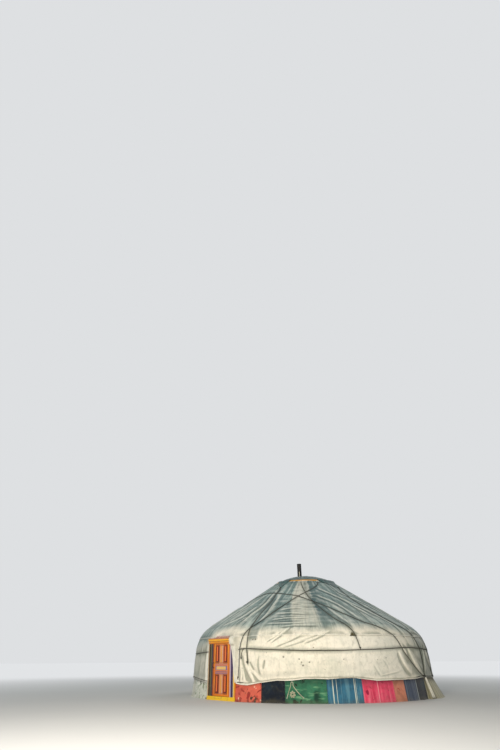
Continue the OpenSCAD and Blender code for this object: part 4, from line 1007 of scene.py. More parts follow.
def blotches(tree, vector, scale, low, high, distortion):
    return span(tree, texture(tree, vector, scale, 2.0, 0.5, distortion), low, high)


def floweredRed(tree, colour, sheet, position):
    colour = mix(tree, blotches(tree, sheet, 5.0, 0.52, 0.62, 1.2), colour, linear(150, 48, 40))
    colour = mix(tree, blotches(tree, moved(tree, sheet, 3.3, 1.7), 6.5, 0.63, 0.69, 0.8), colour,
                 linear(64, 50, 36))
    return mix(tree, blotches(tree, moved(tree, sheet, 8.1, 5.2), 6.0, 0.66, 0.72, 0.6), colour,
               linear(232, 196, 170))


def inkNavy(tree, colour, sheet, position):
    right = span(tree, coordinate(tree, position, 0), 3.0, 3.4)
    high = span(tree, coordinate(tree, position, 2), 0.16, 0.4)
    # painted highlight: teal sheen in clouds on the upper part of the navy cloth
    cloud = times(tree, span(tree, texture(tree, sheet, 2.4, 5.0, 0.6, 0.4), 0.42, 0.7, 0.0, 0.55), high)
    colour = mix(tree, cloud, colour, linear(24, 66, 82))
    across = attributeValue(tree, "across")
    pin = texture(tree, stretched(tree, sheet, (20.0, 0.5, 1)), 1.0, 4.0, 0.6, 0.2)
    striped = mix(tree, span(tree, across, 0.52, 0.5), colour, mix(tree, span(tree, pin, 0.45, 0.65),
            linear(52, 64, 84), linear(92, 104, 122)))
    striped = mix(tree, span(tree, apart(tree, across, 0.52), 0.02, 0.01, 0.0, 0.8), striped,
                  linear(176, 182, 180))
    return mix(tree, right, colour, striped)


def shadedGreen(tree, colour, sheet, position):
    colour = mix(tree, blotches(tree, sheet, 2.6, 0.50, 0.66, 0.7), colour, linear(20, 58, 44))
    colour = mix(tree, blotches(tree, moved(tree, sheet, 5.0, 2.0), 5.0, 0.6, 0.68, 0.5), colour,
                 linear(12, 34, 28))
    return mix(tree, blotches(tree, stretched(tree, sheet, (1.2, 5, 1)), 2.4, 0.56, 0.74, 0.5), colour,
               linear(120, 168, 124))


def stripedBlue(tree, colour, sheet, position):
    streakNoise = texture(tree, stretched(tree, sheet, (9.0, 0.7, 1)), 1.0, 6.0, 0.65, 0.4)
    colour = mix(tree, span(tree, streakNoise, 0.5, 0.66, 0.0, 0.6), colour, linear(104, 152, 164))
    across = attributeValue(tree, "across")
    for at, width in ((0.165, 0.012), (0.265, 0.007), (0.77, 0.011), (0.81, 0.006)):
        line = apart(tree, plus(tree, across, times(tree, minus(tree, streakNoise, 0.5), 0.03)), at)
        colour = mix(tree, span(tree, line, width * 1.6, width * 0.5, 0.0, 0.9), colour, linear(208, 212, 192))
    return colour


def streakedCrimson(tree, colour, sheet, position):
    streakNoise = texture(tree, stretched(tree, sheet, (11.0, 0.6, 1)), 1.0, 5.0, 0.6, 0.5)
    # pink streaks, stronger low down: partly the cloth's streaky dye and partly painted highlights on its folds
    low = span(tree, coordinate(tree, position, 2), 0.42, 0.12, 0.25, 1.0)
    colour = mix(tree, times(tree, span(tree, streakNoise, 0.42, 0.62, 0.0, 0.8), low), colour, linear(244, 124, 142))
    line = apart(tree, attributeValue(tree, "across"), 0.47)
    colour = mix(tree, span(tree, line, 0.016, 0.006, 0.0, 0.7), colour, linear(240, 176, 176))
    return mix(tree, blotches(tree, sheet, 5.0, 0.64, 0.7, 0.5), colour, linear(150, 26, 60))


def figuredPeach(tree, colour, sheet, position):
    dark = blotches(tree, stretched(tree, sheet, (1.6, 1, 1)), 3.0, 0.54, 0.60, 0.4)
    dark = times(tree, dark, span(tree, attributeValue(tree, "across"), 0.62, 0.5))
    colour = mix(tree, dark, colour, linear(52, 40, 62))
    colour = mix(tree, blotches(tree, moved(tree, sheet, 4.4, 2.1), 7.0, 0.66, 0.70, 0.6), colour,
                 linear(186, 74, 66))
    left = span(tree, coordinate(tree, position, 0), -1.1, -1.3)
    leaves = mix(tree, blotches(tree, sheet, 7.0, 0.58, 0.64, 1.2), linear(202, 200, 180), linear(122, 132, 96))
    return mix(tree, left, colour, leaves)


def printedWhite(tree, colour, sheet, position):
    right = span(tree, coordinate(tree, position, 0), 2.9, 3.3)
    colour = mix(tree, blotches(tree, sheet, 5.0, 0.56, 0.66, 1.2), colour, linear(116, 134, 84))
    colour = mix(tree, blotches(tree, moved(tree, sheet, 2.2, 6.1), 6.0, 0.64, 0.70, 0.8), colour,
                 linear(64, 72, 52))
    streaks = blotches(tree, stretched(tree, sheet, (14, 0.8, 1)), 1.0, 0.42, 0.68, 0.4)
    return mix(tree, right, colour, mix(tree, streaks, linear(182, 174, 140), linear(138, 132, 100)))


# piece: node, spans of azimuth, depth of its folds, material and flat size
skirtCloths = {
    "skirtWhite": ("skirt_white", [(98, 130), (334, 351)], 0.6, ("printedCloth", linear(218, 218, 202),
            linear(186, 188, 168), printedWhite), (3.3, 0.58)),
    "skirtRed": ("skirt_red", [(9.0, 21.2), (142, 158), (262, 280)], 1.0,
                 ("floweredCloth", linear(214, 100, 78), linear(176, 66, 52), floweredRed), (3.08, 0.58)),
    "skirtNavy": ("skirt_navy", [(21.2, 31), (82, 98), (190, 208)], 0.7,
                  ("inkCloth", linear(8, 20, 34), linear(4, 8, 16), inkNavy), (2.9, 0.58)),
    "skirtGreen": ("skirt_green", [(31, 47.2), (130, 142), (226, 246), (300, 318)], 1.0,
                   ("greenCloth", linear(54, 116, 84), linear(30, 76, 56), shadedGreen), (4.38, 0.58)),
    "skirtBlue": ("skirt_blue", [(47.2, 61.4), (158, 176), (246, 262)], 1.2,
                  ("dyedBlueCloth", linear(50, 106, 130), linear(26, 66, 90), stripedBlue), (3.19, 0.58)),
    "skirtCrimson": ("skirt_crimson", [(61.4, 75.8), (208, 226), (280, 300)], 1.1,
                     ("crimsonCloth", linear(224, 62, 96), linear(184, 36, 66), streakedCrimson), (3.46, 0.58)),
    "skirtPeach": ("skirt_peach", [(75.8, 82), (176, 190), (318, 334)], 0.9,
                   ("peachCloth", linear(206, 130, 100), linear(164, 94, 70), figuredPeach), (2.39, 0.58))}
for k, (name, (node, spans, puff, look, flat)) in enumerate(skirtCloths.items()):
    grids = [skirtGrid(a, b, 200 + 17 * k + 5 * i, puff) for i, (a, b) in enumerate(spans)]
    skirt = clothObject(name, grids, skirtMaterial(*look))
    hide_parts(node)
    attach(skirt, "yurt")
print("skirt cloths:", len(skirtCloths))

# corner of the canvas pulled down to the ground
tail = {"az": math.radians(99.5), "top": 0.50, "topRadius": 3.774, "foot": 3.918, "width": 0.26, "across": 41,
        "down": 64, "folds": 2.3, "depth": 0.018}
u, v = np.meshgrid(np.linspace(-1, 1, tail["across"]), np.linspace(0, 1, tail["down"]), indexing="ij")
width = tail["width"] * (0.5 + 0.5 * (1 - v) ** 0.8)
side = u * width / 2 + 0.012 * np.sin(v * 5 + 1) + 0.075 * (1 - v) ** 1.5
radius = tail["foot"] + (tail["topRadius"] - tail["foot"]) * v + 0.028 * np.sin(np.pi * v) * 0.4
wave = tail["depth"] * np.sin(u * tail["folds"] * np.pi + 2.2 * v) * (0.5 + 0.5 * bell(v - 0.4,
        0.5)) - 0.010 * u ** 2
wave += 0.004 * noise(u * 3, v * 9, 0 * v, 301)
radius = radius + wave + 0.006
height = tail["top"] * v + 0.004
azimuth = tail["az"] + side / cover["baseRadius"]
zero = 0 * u
# painted shade in the hollows of its folds, a painted highlight on their ridges, and a painted shadow down one
# side; the foot is darker as well
look = {"tone": zero + 0.05, "patch": zero, "across": zero, "pale": zero + 0.1,
        "soilAndShade": np.clip(0.8 * bell(v, 0.08) + 0.75 * bell(u - 0.88, 0.12) * ease(v, 0.95, 0.8), 0, 0.85),
        "hollow": np.clip(-wave / 0.008, 0, 1) * 0.8, "ridge": np.clip(wave / 0.012, 0, 1),
        **flowValues(azimuth, height, zero)}
points = around(radius, azimuth, height)
tailCloth = clothObject("canvasTail", [(points, np.stack([side, v * 0.52], axis=-1), False, look)], canvas)
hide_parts("canvas_tail")
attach(tailCloth, "yurt")

# cloth over the crown: its corners are pulled down by ropes and its edges drawn in between them
crown = {"corner": 1.475, "waist": 0.985, "corners": (7, 90, 187, 270, 367), "cells": 150, "ring": 1.04,
         "inner": 0.956, "ringTop": 3.2343, "domeRadius": 2.2331, "domeRise": 0.215,
         "spoke": 0.028, "spokeStep": 0.24, "lift": 0.009, "pipe": (-0.12, -0.12), "hole": 0.095}
frontEdge = [(7, 1.475), (9, 1.28), (12, 1.07), (17, 1.0), (25, 0.978), (42, 0.968), (58, 0.966), (64, 1.01),
             (68, 1.11), (75, 1.22), (82, 1.33), (90, 1.475)]


def crownHeight(r, lift):
    domeZ = crown["ringTop"] - crown["spoke"] + crown["domeRise"] - crown["domeRadius"]
    dome = domeZ + np.sqrt(np.maximum((crown["domeRadius"] + crown["spoke"] + lift) ** 2 - r ** 2, 0.01))
    _, roofR, roofZ = coverPoint(0.0, np.array(roofS(1.2)), 0.0) * (1, -1, 1)
    roof = roofZ + (roofR - r) * math.tan(cover["slope"]) + lift / math.cos(cover["slope"])
    edge = crown["ringTop"] + lift + 0.002
    knots = [crown["inner"], crown["ring"] - 0.01, crown["ring"] + 0.006 + lift, crown["ring"] + 0.085 + lift]
    inner = domeZ + math.sqrt((crown["domeRadius"] + crown["spoke"]) ** 2 - crown["inner"] ** 2) + lift
    outer = float(roofZ + (roofR - knots[3]) * math.tan(cover["slope"]) + crown["lift"] / math.cos(cover["slope"]))
    heights = [inner, edge, edge - 0.012, outer]
    ringPart = np.interp(r, knots, heights)
    return np.where(r < knots[0], dome, np.where(r < knots[3], ringPart, roof))


def crownGrid():
    n = crown["cells"] + 1
    a, b = np.meshgrid(np.linspace(-1, 1, n), np.linspace(-1, 1, n), indexing="ij")
    out = np.maximum(np.abs(a), np.abs(b))
    quarter = np.mod(np.arctan2(b, a) / (math.pi / 2) + 0.5, 4)
    k = np.minimum(quarter.astype(int), 3)
    share = quarter - k
    corners = np.array(crown["corners"], float)
    degrees = corners[k] + (corners[k + 1] - corners[k]) * share
    edge = crown["waist"] + (crown["corner"] - crown["waist"]) * np.abs(2 * share - 1) ** 2.6
    edge = np.where(k == 0, level(frontEdge, degrees), edge)
    az = np.radians(degrees)
    edge = edge + 0.010 * flow(az, 0 * az, 6.0, 1, 407) * (edge < 1.4)
    blend = ease(out, 0.25, 0.92)
    r = out * (blend * edge + (1 - blend) * 1.08)
    wx, wy = r * np.sin(az), -r * np.cos(az)
    # widen the hole for the pipe
    px, py = wx - crown["pipe"][0], wy - crown["pipe"][1]
    dist = np.hypot(px, py) + 1e-9
    hole = crown["hole"]
    target = np.where(dist < 2 * hole, hole + np.maximum(dist - 0.55 * hole, 0) * hole / (1.45 * hole), dist)
    wx, wy = crown["pipe"][0] + px / dist * target, crown["pipe"][1] + py / dist * target
    r = np.hypot(wx, wy)
    sag = np.abs(np.sin(math.pi * wx / crown["spokeStep"]) * np.sin(math.pi * wy / crown["spokeStep"]))
    sag = sag * (r < crown["inner"] - 0.05)
    wrinkle = 0.004 * noise(wx * 6, wy * 6, 0 * r, 401) + 0.0025 * noise(wx * 17, wy * 17, 0 * r, 403)
    rays = 0.011 * (1 - 2.4 * np.abs(noise(az * 6.5, 0 * r, 0.5 + 0 * r, 405))) * ease(r, 0.9, 1.25)
    hem = 0.005 * bell(out - 0.965, 0.02) - 0.006 * ease(out, 0.985, 1.0)
    lift = crown["lift"] + 0.003 - 0.012 * sag + np.maximum(wrinkle + rays, -0.005) + hem
    z = crownHeight(r, 0.0) + lift / np.cos(np.where(r > crown["ring"], cover["slope"], 0))
    points = np.stack([wx, wy, z], axis=-1)
    removed = dist < 0.5 * hole
    low = blurred(lift, (5, 5)) - lift
    # painted shade in the hollows and where the cloth sags between the spokes, and a painted highlight on its
    # ridges
    look = {"border": 1 - ease((1 - out) * edge, 0.035, 0.042),
            "hollow": np.clip(low / 0.003 + 0.4 * sag, 0, 1),
            "ridge": np.clip(-low / 0.003, 0, 1)}
    return points, np.stack([a, b], axis=-1), look, removed


crownMaterial, tree, shader = startMaterial("crownCloth", roughness=0.84, specular=0.2, sheen=0.2)
position = objectVector(tree)
colour = mix(tree, span(tree, texture(tree, position, 3.4, 6.0, 0.6, 0.6), 0.4, 0.7), linear(20, 74, 70),
             linear(8, 44, 46))
faded = texture(tree, stretched(tree, position, (3, 3, 9)), 1.0, 5.0, 0.6, 0.8)
colour = mix(tree, span(tree, faded, 0.55, 0.75, 0.0, 0.4), colour, linear(58, 118, 108))
# a dark border, a painted highlight on the ridges and painted shade in the hollows
for key, share, paint in (("border", 0.75, linear(6, 30, 34)), ("ridge", 0.3, linear(66, 132, 120)),
                          ("hollow", 0.6, linear(6, 28, 32))):
    colour = mix(tree, times(tree, attributeValue(tree, key), share), colour, paint)
useCloth(tree, shader, colour, linear(58, 58, 44), 0.35, 0.3, 0.8, 62.0, 0.01, 0.5)
points, uv, look, removed = crownGrid()
crownCloth = clothObject("crownCloth", [(points, uv, False, look)], crownMaterial)
with edited(crownCloth) as bm:
    bm.verts.ensure_lookup_table()
    bmesh.ops.delete(bm, geom=[v for v, gone in zip(bm.verts, removed.ravel()) if gone], context="VERTS")
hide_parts("crown_cover")
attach(crownCloth, "yurt")
print("crown cloth:", len(crownCloth.data.polygons), "faces")

# felt of the wall, the roof and over the door, seen from inside between the laths and the poles
feltMaterial, tree, shader = startMaterial("felt", roughness=0.95, specular=0.1, sheen=0.35)
ins = {"Colour": linear(206, 194, 166), "Dark": linear(150, 134, 104), "Position": objectVector(tree)}
wool = put(tree, "ShaderNodeGroup", ins, node_tree=feltGroup)
finishMaterial(tree, shader, wool.outputs[0], wool.outputs[1], 0.012, 0.8)

felt = {"back": -0.0440, "thick": 0.016, "doorAngle": 8.87, "pitch": 5.7043, "foot": 0.075, "halfRow": 0.16,
        "bulge": 0.009}


def feltSheet(startDeg, endDeg, sLow, sHigh, rows, columns, wrap=False):
    values = np.radians(np.linspace(startDeg, endDeg, columns + 1))
    az, s = np.meshgrid(values[:-1] if wrap else values, np.linspace(sLow, sHigh, rows), indexing="ij")
    p = (np.mod(np.degrees(az), 360) - felt["doorAngle"]) / felt["pitch"]
    q = (s - felt["foot"]) / (2 * felt["halfRow"])
    diamonds = np.abs(np.sin(math.pi * (p + q)) * np.sin(math.pi * (p - q))) * (1 - ease(s, 0.98, 1.06))
    poles = np.abs(np.sin(math.pi * p)) * ease(s, 1.1, 1.4)
    lift = felt["back"] - felt["bulge"] * (diamonds ** 0.7 + 0.7 * poles ** 0.7) + 0.0008 * flow(az, s,
            4, 3, 501)
    seam = 0.004 * bell(np.mod(np.degrees(az) - felt["doorAngle"], 42.7) - 21.3, 0.25)
    tucks = ((0.03, -felt["thick"]), (0.0, -felt["thick"]), (0.0, -0.006))
    points, uv, _ = tucked(az, s, lift, tucks, 3.7, {}, seam)
    return points, uv, wrap, {}


def flipFaces(ob):  # the felt shows its inner side
    with edited(ob) as bm:
        bmesh.ops.reverse_faces(bm, faces=bm.faces)


shoulder45 = cover["springHeight"] + cover["shoulderRadius"] * math.radians(45)
wallFelts, roofFelts = ([part + side for side in ("right", "back_right", "back_left", "left")]
                        for part in ("wall_felt_", "roof_felt_"))
feltPieces = {
    "wallFelt": (wallFelts, feltSheet(9.2, 350.8, 0.0, shoulder45, 62, 660), (22.4, 1.8), "lattice_1"),
    "roofFelt": (roofFelts, feltSheet(0, 360, shoulder45, 4.60, 60, 630, True), (8.0, 8.0), "roof_poles_right"),
    "doorFelt": (["door_felt"], feltSheet(-9.1, 9.1, 1.55, shoulder45, 10, 36), (1.16, 0.24), "lintel")}
for name, (nodes, grid, flat, rests) in feltPieces.items():
    piece = clothObject(name, [grid], feltMaterial)
    flipFaces(piece)
    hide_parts(*nodes)
    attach(piece, "yurt")
print("felt ready")

# rolled door curtain
roll = {"length": 0.56, "radius": 0.03, "turns": 3.2, "cloth": 0.006, "y": -3.71, "z": 1.4804 + 0.03}
wound = roll["turns"] * 2 * math.pi
T, X = np.meshgrid(np.linspace(0, wound, 150), np.linspace(-roll["length"] / 2, roll["length"] / 2,
        57), indexing="ij")
rad = roll["radius"] - 0.003 - roll["cloth"] * (wound - T) / (2 * math.pi) * 1.05
ties = bell(X - 0.17, 0.012) + bell(X + 0.17, 0.012)
rad = rad * (1 - 0.12 * ties) + 0.0022 * noise(X * 14, T * 1.5, 0 * X, 601) + 0.0012 * noise(X * 40,
        T * 3, 0 * X, 603)
rad = np.maximum(rad, 0.004)
shift = 0.004 * noise(T * 0.8, 0 * T, 0 * T, 605) * np.sign(X) * ease(np.abs(X), 0.2, 0.28)
turnBy = T - wound - 2.0
height = roll["z"] - 0.001 + rad * 0.98 * np.sin(turnBy)
points = np.stack([X + shift, roll["y"] + rad * np.cos(turnBy), height], axis=-1)
rollMaterial, tree, shader = startMaterial("rollCloth", roughness=0.9, specular=0.15, sheen=0.3)
stripes = bands(tree, uvVector(tree), 9.0, 0.8, 2.0, "X")
colour = mix(tree, span(tree, stripes, 0.55, 0.7), linear(206, 172, 160), linear(160, 88, 82))
colour = mix(tree, span(tree, stripes, 0.1, 0.03), colour, linear(232, 222, 200))
useCloth(tree, shader, colour, linear(96, 84, 60), 0.3, 0.3, 0.8, 80.0, 0.006, 0.5)
doorRoll = clothObject("doorRoll", [(points, np.stack([X, T * 0.02], axis=-1), False, {})], rollMaterial)
flipFaces(doorRoll)
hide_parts("door_roll")
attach(doorRoll, "yurt")

# ropes: three strands twisted along each route, made by Geometry Nodes
ropeDark, ropePale = linear(34, 34, 28), linear(88, 84, 66)
ropeMaterial = fibreMaterial("rope", ropeDark, ropePale)


def geometryTree(name, *inputs):
    shape = [("Geometry", "Geometry")]
    return startTree(name, "GeometryNodeTree", shape + list(inputs), shape)


def finishTree(tree, geometry, material, go):
    realized = put(tree, "GeometryNodeRealizeInstances", {0: geometry}).outputs[0]
    smooth = put(tree, "GeometryNodeSetShadeSmooth", {0: realized}).outputs[0]
    painted = put(tree, "GeometryNodeSetMaterial", {"Geometry": smooth, "Material": material})
    tree.links.new(painted.outputs[0], go[0])


def resampled(tree, curve, step):
    return put(tree, "GeometryNodeResampleCurve", {"Curve": curve, "Length": step}, mode="LENGTH").outputs[0]


def grown(name, source, tree, values):  # runs the tree on a source object and keeps its plain mesh
    modifier = source.modifiers.new("grow", "NODES")
    modifier.node_group = tree
    for item in tree.interface.items_tree:
        if item.item_type == "SOCKET" and item.in_out == "INPUT" and item.name in values:
            modifier[item.identifier] = values[item.name]
    mesh = bpy.data.meshes.new_from_object(source.evaluated_get(bpy.context.evaluated_depsgraph_get()))
    mesh.name = name
    bpy.data.objects.remove(source)
    return linked(name, mesh)


def curveSource(name, paths):
    curve = bpy.data.curves.new(name + "Path", "CURVE")
    curve.dimensions = "3D"
    for path in paths:
        spline = curve.splines.new("POLY")
        spline.points.add(len(path) - 1)
        spline.points.foreach_set("co", np.concatenate([path, np.ones((len(path), 1))], axis=1).ravel())
    return linked(name + "Path", curve)


twistTree, gi, go = geometryTree("twistedRope", ("Strand Radius", "Float"), ("Core Radius", "Float"),
                                 ("Lay Length", "Float"), ("Step", "Float"), ("Strands", "Int"),
                                 ("Sides", "Int"),
                                 ("Material", "Material"))
g = twistTree
even = resampled(g, gi["Geometry"], gi["Step"])
length = put(g, "GeometryNodeSplineParameter").outputs["Length"]
tilt = times(g, math2(g, "DIVIDE", length, gi["Lay Length"]), 2 * math.pi)
tilted = put(g, "GeometryNodeSetCurveTilt", {"Curve": even, "Tilt": tilt}).outputs[0]
core, strand = (put(g, "GeometryNodeCurvePrimitiveCircle",
                    {"Resolution": gi[count], "Radius": gi[size]}).outputs[0]
                for count, size in (("Strands", "Core Radius"), ("Sides", "Strand Radius")))
places = put(g, "GeometryNodeCurveToPoints", {"Curve": core}, mode="EVALUATED").outputs[0]
strands = put(g, "GeometryNodeInstanceOnPoints", {"Points": places, "Instance": strand}).outputs[0]
profile = put(g, "GeometryNodeRealizeInstances", {0: strands}).outputs[0]
swept = put(g, "GeometryNodeCurveToMesh", {"Curve": tilted, "Profile Curve": profile,
                                           "Fill Caps": True}).outputs[0]
finishTree(g, swept, gi["Material"], go)


def onCover(path):  # lifts of the sheet that a rope lies on; the wall canvas is further in
    az, s = path[:, 0], path[:, 1]
    return coverLift(az, s) - cover["wallIn"] * (1 - ease(s, cover["roofHem"] - 0.03, cover["roofHem"] + 0.004))


def averaged(values, reach):
    window = 2 * reach + 1
    return np.convolve(np.pad(values, reach, mode="edge"), np.ones(window) / window, mode="valid")


def ropeWorld(path, over=()):  # the line of a rope, lifted where it crosses the ropes below it
    path = evenPath(path * (3.0, 1.0), 0.02) / (3.0, 1.0)
    lift = onCover(path) + ropes["radius"] * 1.02
    for other in over:
        lift = lift + 0.015 * bell(pathField(path[:, 0], path[:, 1], other)[0], 0.035)
    if 4.0 < path[0, 1] < 4.3:  # over the corner of the crown cloth
        lift = lift + 0.014 * ease(path[:, 1], roofS(1.56), roofS(1.49))
    for crossed in (bellyS, tieS):
        lift = lift + 0.016 * bell(path[:, 1] - crossed(path[:, 0]), 0.03)
    lift = averaged(lift, 2)
    points = coverPoint(path[:, 0], path[:, 1], lift)
    if path[0, 1] > 4.3:  # from the ring: bend up to its outer face
        lead = np.array([points[0] + (points[0] - points[1]) * 0.2])
        ringPoint = around(np.array([1.052]), path[0, 0], 3.196)
        points = np.concatenate([smoothPath(np.concatenate([ringPoint, lead, points[:1]]), 6)[:-1], points])
    return points


def tieS(az):
    return np.clip(hemHeight(az) + 0.03, 0.43, 0.545)


def knot(centre, out, size):  # a trefoil pulled tight
    out = Vector(out).normalized()
    side = out.cross(Vector((0, 0, 1))).normalized()
    up = side.cross(out)
    ring = []
    for t in np.linspace(0, 2 * math.pi, 40):
        a, b, c = math.sin(t) + 2 * math.sin(2 * t), math.cos(t) - 2 * math.cos(2 * t), -math.sin(3 * t)
        ring.append(Vector(centre) + size * (0.33 * a * side + 0.33 * b * up + 0.42 * c * out))
    return np.array([list(p) for p in ring])


def hangingEnd(start, az, length):  # a loose end below a knot
    out = Vector((math.sin(az), -math.cos(az), 0))
    aside = Vector((math.cos(az), math.sin(az), 0))
    pts = [Vector(start) + out * (0.004 * math.sin(k)) + aside * (0.012 * math.sin(2.1 * k))
           - Vector((0, 0, length * k / 4)) for k in range(5)]
    return smoothPath([list(p) for p in pts], 4)


ropeValues = {"Strand Radius": 0.0056, "Core Radius": 0.0048, "Lay Length": ropes["lay"], "Step": ropes["step"],
              "Strands": 3, "Sides": ropes["sides"], "Material": ropeMaterial}
for half, node in (("front", "roof_ropes_front"), ("back", "roof_ropes_back")):
    lines, laid = [], []
    for key, path in ropeLines[half].items():
        line = ropeWorld(path, laid)
        laid.append(path)
        lines.append(line)
        ends = [(line[-1], path[-1, 0])] + ([(line[0], path[0, 0])] if key == "b" else [])
        for end, endAz in ends:
            out = (math.sin(endAz), -math.cos(endAz), 0)
            middle = Vector(end) + Vector(out) * 0.010
            lines.append(knot(middle, out, 0.020))
            lines.append(hangingEnd(middle + Vector(out) * 0.006, endAz, 0.05))
        if key == "c" and half == "front":  # loose end of the belly rope beside the door
            hanging = radians([(12.9, 1.215), (12.2, 1.17), (11.7, 1.10), (11.45, 1.03), (11.5, 0.98)])
            loose = ropeWorld(smoothPath(hanging, 6))
            lines += [loose, knot(loose[-1], (math.sin(0.2), -math.cos(0.2), 0), 0.016)]
        if key in "ce":  # tied through the corner of the crown cloth
            out = (0.5 * math.sin(path[0, 0]), -0.5 * math.cos(path[0, 0]), 0.86)
            lines.append(knot(Vector(line[0]) + Vector(out) * 0.008, out, 0.018))
    piece = grown("roofRopes" + half.capitalize(), curveSource(node, lines), twistTree, ropeValues)
    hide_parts(node)
    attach(piece, "yurt")
    print(piece.name + ":", len(piece.data.polygons), "faces")


def onPale(dark, pale):  # the hem cord is pale in front, between the door and the tail
    def colour(tree):
        position = objectVector(tree)
        right, front = (span(tree, coordinate(tree, position, axis), low, high)
                        for axis, low, high in ((0, 0.84, 0.92), (1, 0.12, 0.0)))
        return mix(tree, times(tree, right, front), dark, pale)
    return colour


hemCord = fibreMaterial("hemCord", onPale(ropeDark, linear(168, 162, 138)),
                        onPale(ropePale, linear(226, 220, 198)))
for name, node, route in (("bellyRope", "belly_rope", bellyS), ("hemRope", "hem_rope", tieS)):
    az = np.radians(np.linspace(9.0, 351.0, 1500))
    path = np.column_stack([az, route(az)])
    lift = onCover(path) + ropes["radius"]
    if name == "hemRope":
        lift = np.maximum(lift, ropes["radius"] - cover["wallIn"])
    lift = averaged(lift, 4)
    values = {**ropeValues, "Material": hemCord} if name == "hemRope" else ropeValues
    piece = grown(name, curveSource(node, [coverPoint(path[:, 0], path[:, 1], lift)]), twistTree, values)
    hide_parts(node)
    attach(piece, "yurt")
print("ropes ready")

# white cord sewn on the green cloth as a loop with two legs, and a rosette between them
cordMaterial = fibreMaterial("skirtCord", linear(176, 172, 140), linear(236, 234, 214), roughness=0.9,
                             specular=0.15, sheen=0.3)
cord = {"legs": [(31.7, 0.10), (32.5, 0.24), (33.3, 0.37), (33.4, 0.43), (33.8, 0.455), (34.2, 0.43),
                 (34.3, 0.37), (35.4, 0.28), (36.8, 0.19), (38.3, 0.11)], "centre": (34.0, 0.19), "petals": 7,
                 "rings": (0.018, 0.07), "hub": 0.028, "lift": 0.034}


def onSkirt(azDeg, z):
    return skirtPoint(np.radians(azDeg), z, cord["lift"] * (1 - 0.6 * ease(z, 0.25, 0.46)))


def rosette(radius):
    return onSkirt(cord["centre"][0] + np.degrees(radius * np.sin(turns) / cover["baseRadius"]),
                   cord["centre"][1] + radius * np.cos(turns))


legs = smoothPath(cord["legs"], 8)
turns = np.linspace(0, 2 * math.pi, 120)
low, high = cord["rings"]
flower = low + (high - low) * np.abs(np.cos(turns * cord["petals"] / 2))
cordLines = [onSkirt(legs[:, 0], legs[:, 1]), rosette(flower), rosette(cord["hub"])]
skirtCord = grown("skirtCord", curveSource("skirtCord", cordLines), twistTree,
                  {**ropeValues, "Strand Radius": 0.0062, "Core Radius": 0.0054,
                   "Lay Length": 0.07, "Step": 0.01,
                   "Material": cordMaterial})
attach(skirtCord, "yurt")
print("cord sewn on")

# stitches along the hems and seams of the canvas
stitchMaterial = fibreMaterial("stitchThread", linear(120, 116, 92), linear(206, 198, 166), 0.001, 0.5,
                               roughness=0.85, specular=0.2, sheen=0.0)
stitchTree, gi, go = geometryTree("stitches", ("Spacing", "Float"), ("Stitch Length", "Float"),
                                  ("Thread Radius", "Float"), ("Unevenness", "Float"), ("Seed", "Int"),
                                  ("Material", "Material"))
g = stitchTree
even = resampled(g, gi["Geometry"], gi["Spacing"])
bar = put(g, "GeometryNodeMeshCylinder", {"Vertices": 4, "Radius": gi["Thread Radius"],
                                          "Depth": gi["Stitch Length"]},
          fill_type="TRIANGLE_FAN").outputs[0]
tangent = put(g, "GeometryNodeInputTangent").outputs[0]
wobble = put(g, "FunctionNodeRandomValue", {"Min": (-1, -1, -1), "Max": (1, 1, 1), "Seed": gi["Seed"]},
             data_type="FLOAT_VECTOR").outputs[0]
bent = put(g, "ShaderNodeVectorMath", {0: wobble, "Scale": gi["Unevenness"]}, operation="SCALE").outputs[0]
aim = put(g, "ShaderNodeVectorMath", {0: tangent, 1: bent}, operation="ADD").outputs[0]
rotation = put(g, "FunctionNodeAlignRotationToVector", {"Vector": aim}, axis="Z").outputs[0]
sewn = put(g, "GeometryNodeInstanceOnPoints", {"Points": even, "Instance": bar,
                                               "Rotation": rotation}).outputs[0]
finishTree(g, sewn, gi["Material"], go)


def sewLines(path, under=0.0):  # two rows of stitches beside a seam
    line = evenPath(path * (3.0, 1.0), 0.03) / (3.0, 1.0)
    az, s = line[:, 0], line[:, 1]
    lift = coverLift(az, s)
    return [coverPoint(az + shift / coverRadius(s), s, lift - under + 0.0012) for shift in (0.012, -0.014)]


allRound = np.radians(np.arange(0, 360.1, 0.5))
low = cover["roofHem"] + hemWave(allRound) + 0.034
stitchLines = [coverPoint(allRound, low, coverLift(allRound, low) + 0.0035)]
for path in seamPaths["roof"]:
    stitchLines += sewLines(path)
for start, end in ((9.6, 97.6), (98.4, 350.6)):
    part = np.radians(np.arange(start, end, 0.5))
    low = hemHeight(part) + 0.03
    stitchLines.append(coverPoint(part, low, coverLift(part, low) - cover["wallIn"] + 0.010))
for path in seamPaths["wall"]:
    stitchLines += sewLines(path[path[:, 1] < cover["roofHem"] - 0.02], cover["wallIn"])
stitches = grown("canvasStitches", curveSource("stitches", stitchLines), stitchTree,
                 {"Spacing": 0.034, "Stitch Length": 0.02, "Thread Radius": 0.0016,
                  "Unevenness": 0.1, "Seed": 5,
                  "Material": stitchMaterial})
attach(stitches, "yurt")
print("stitches:", len(stitches.data.polygons), "faces")

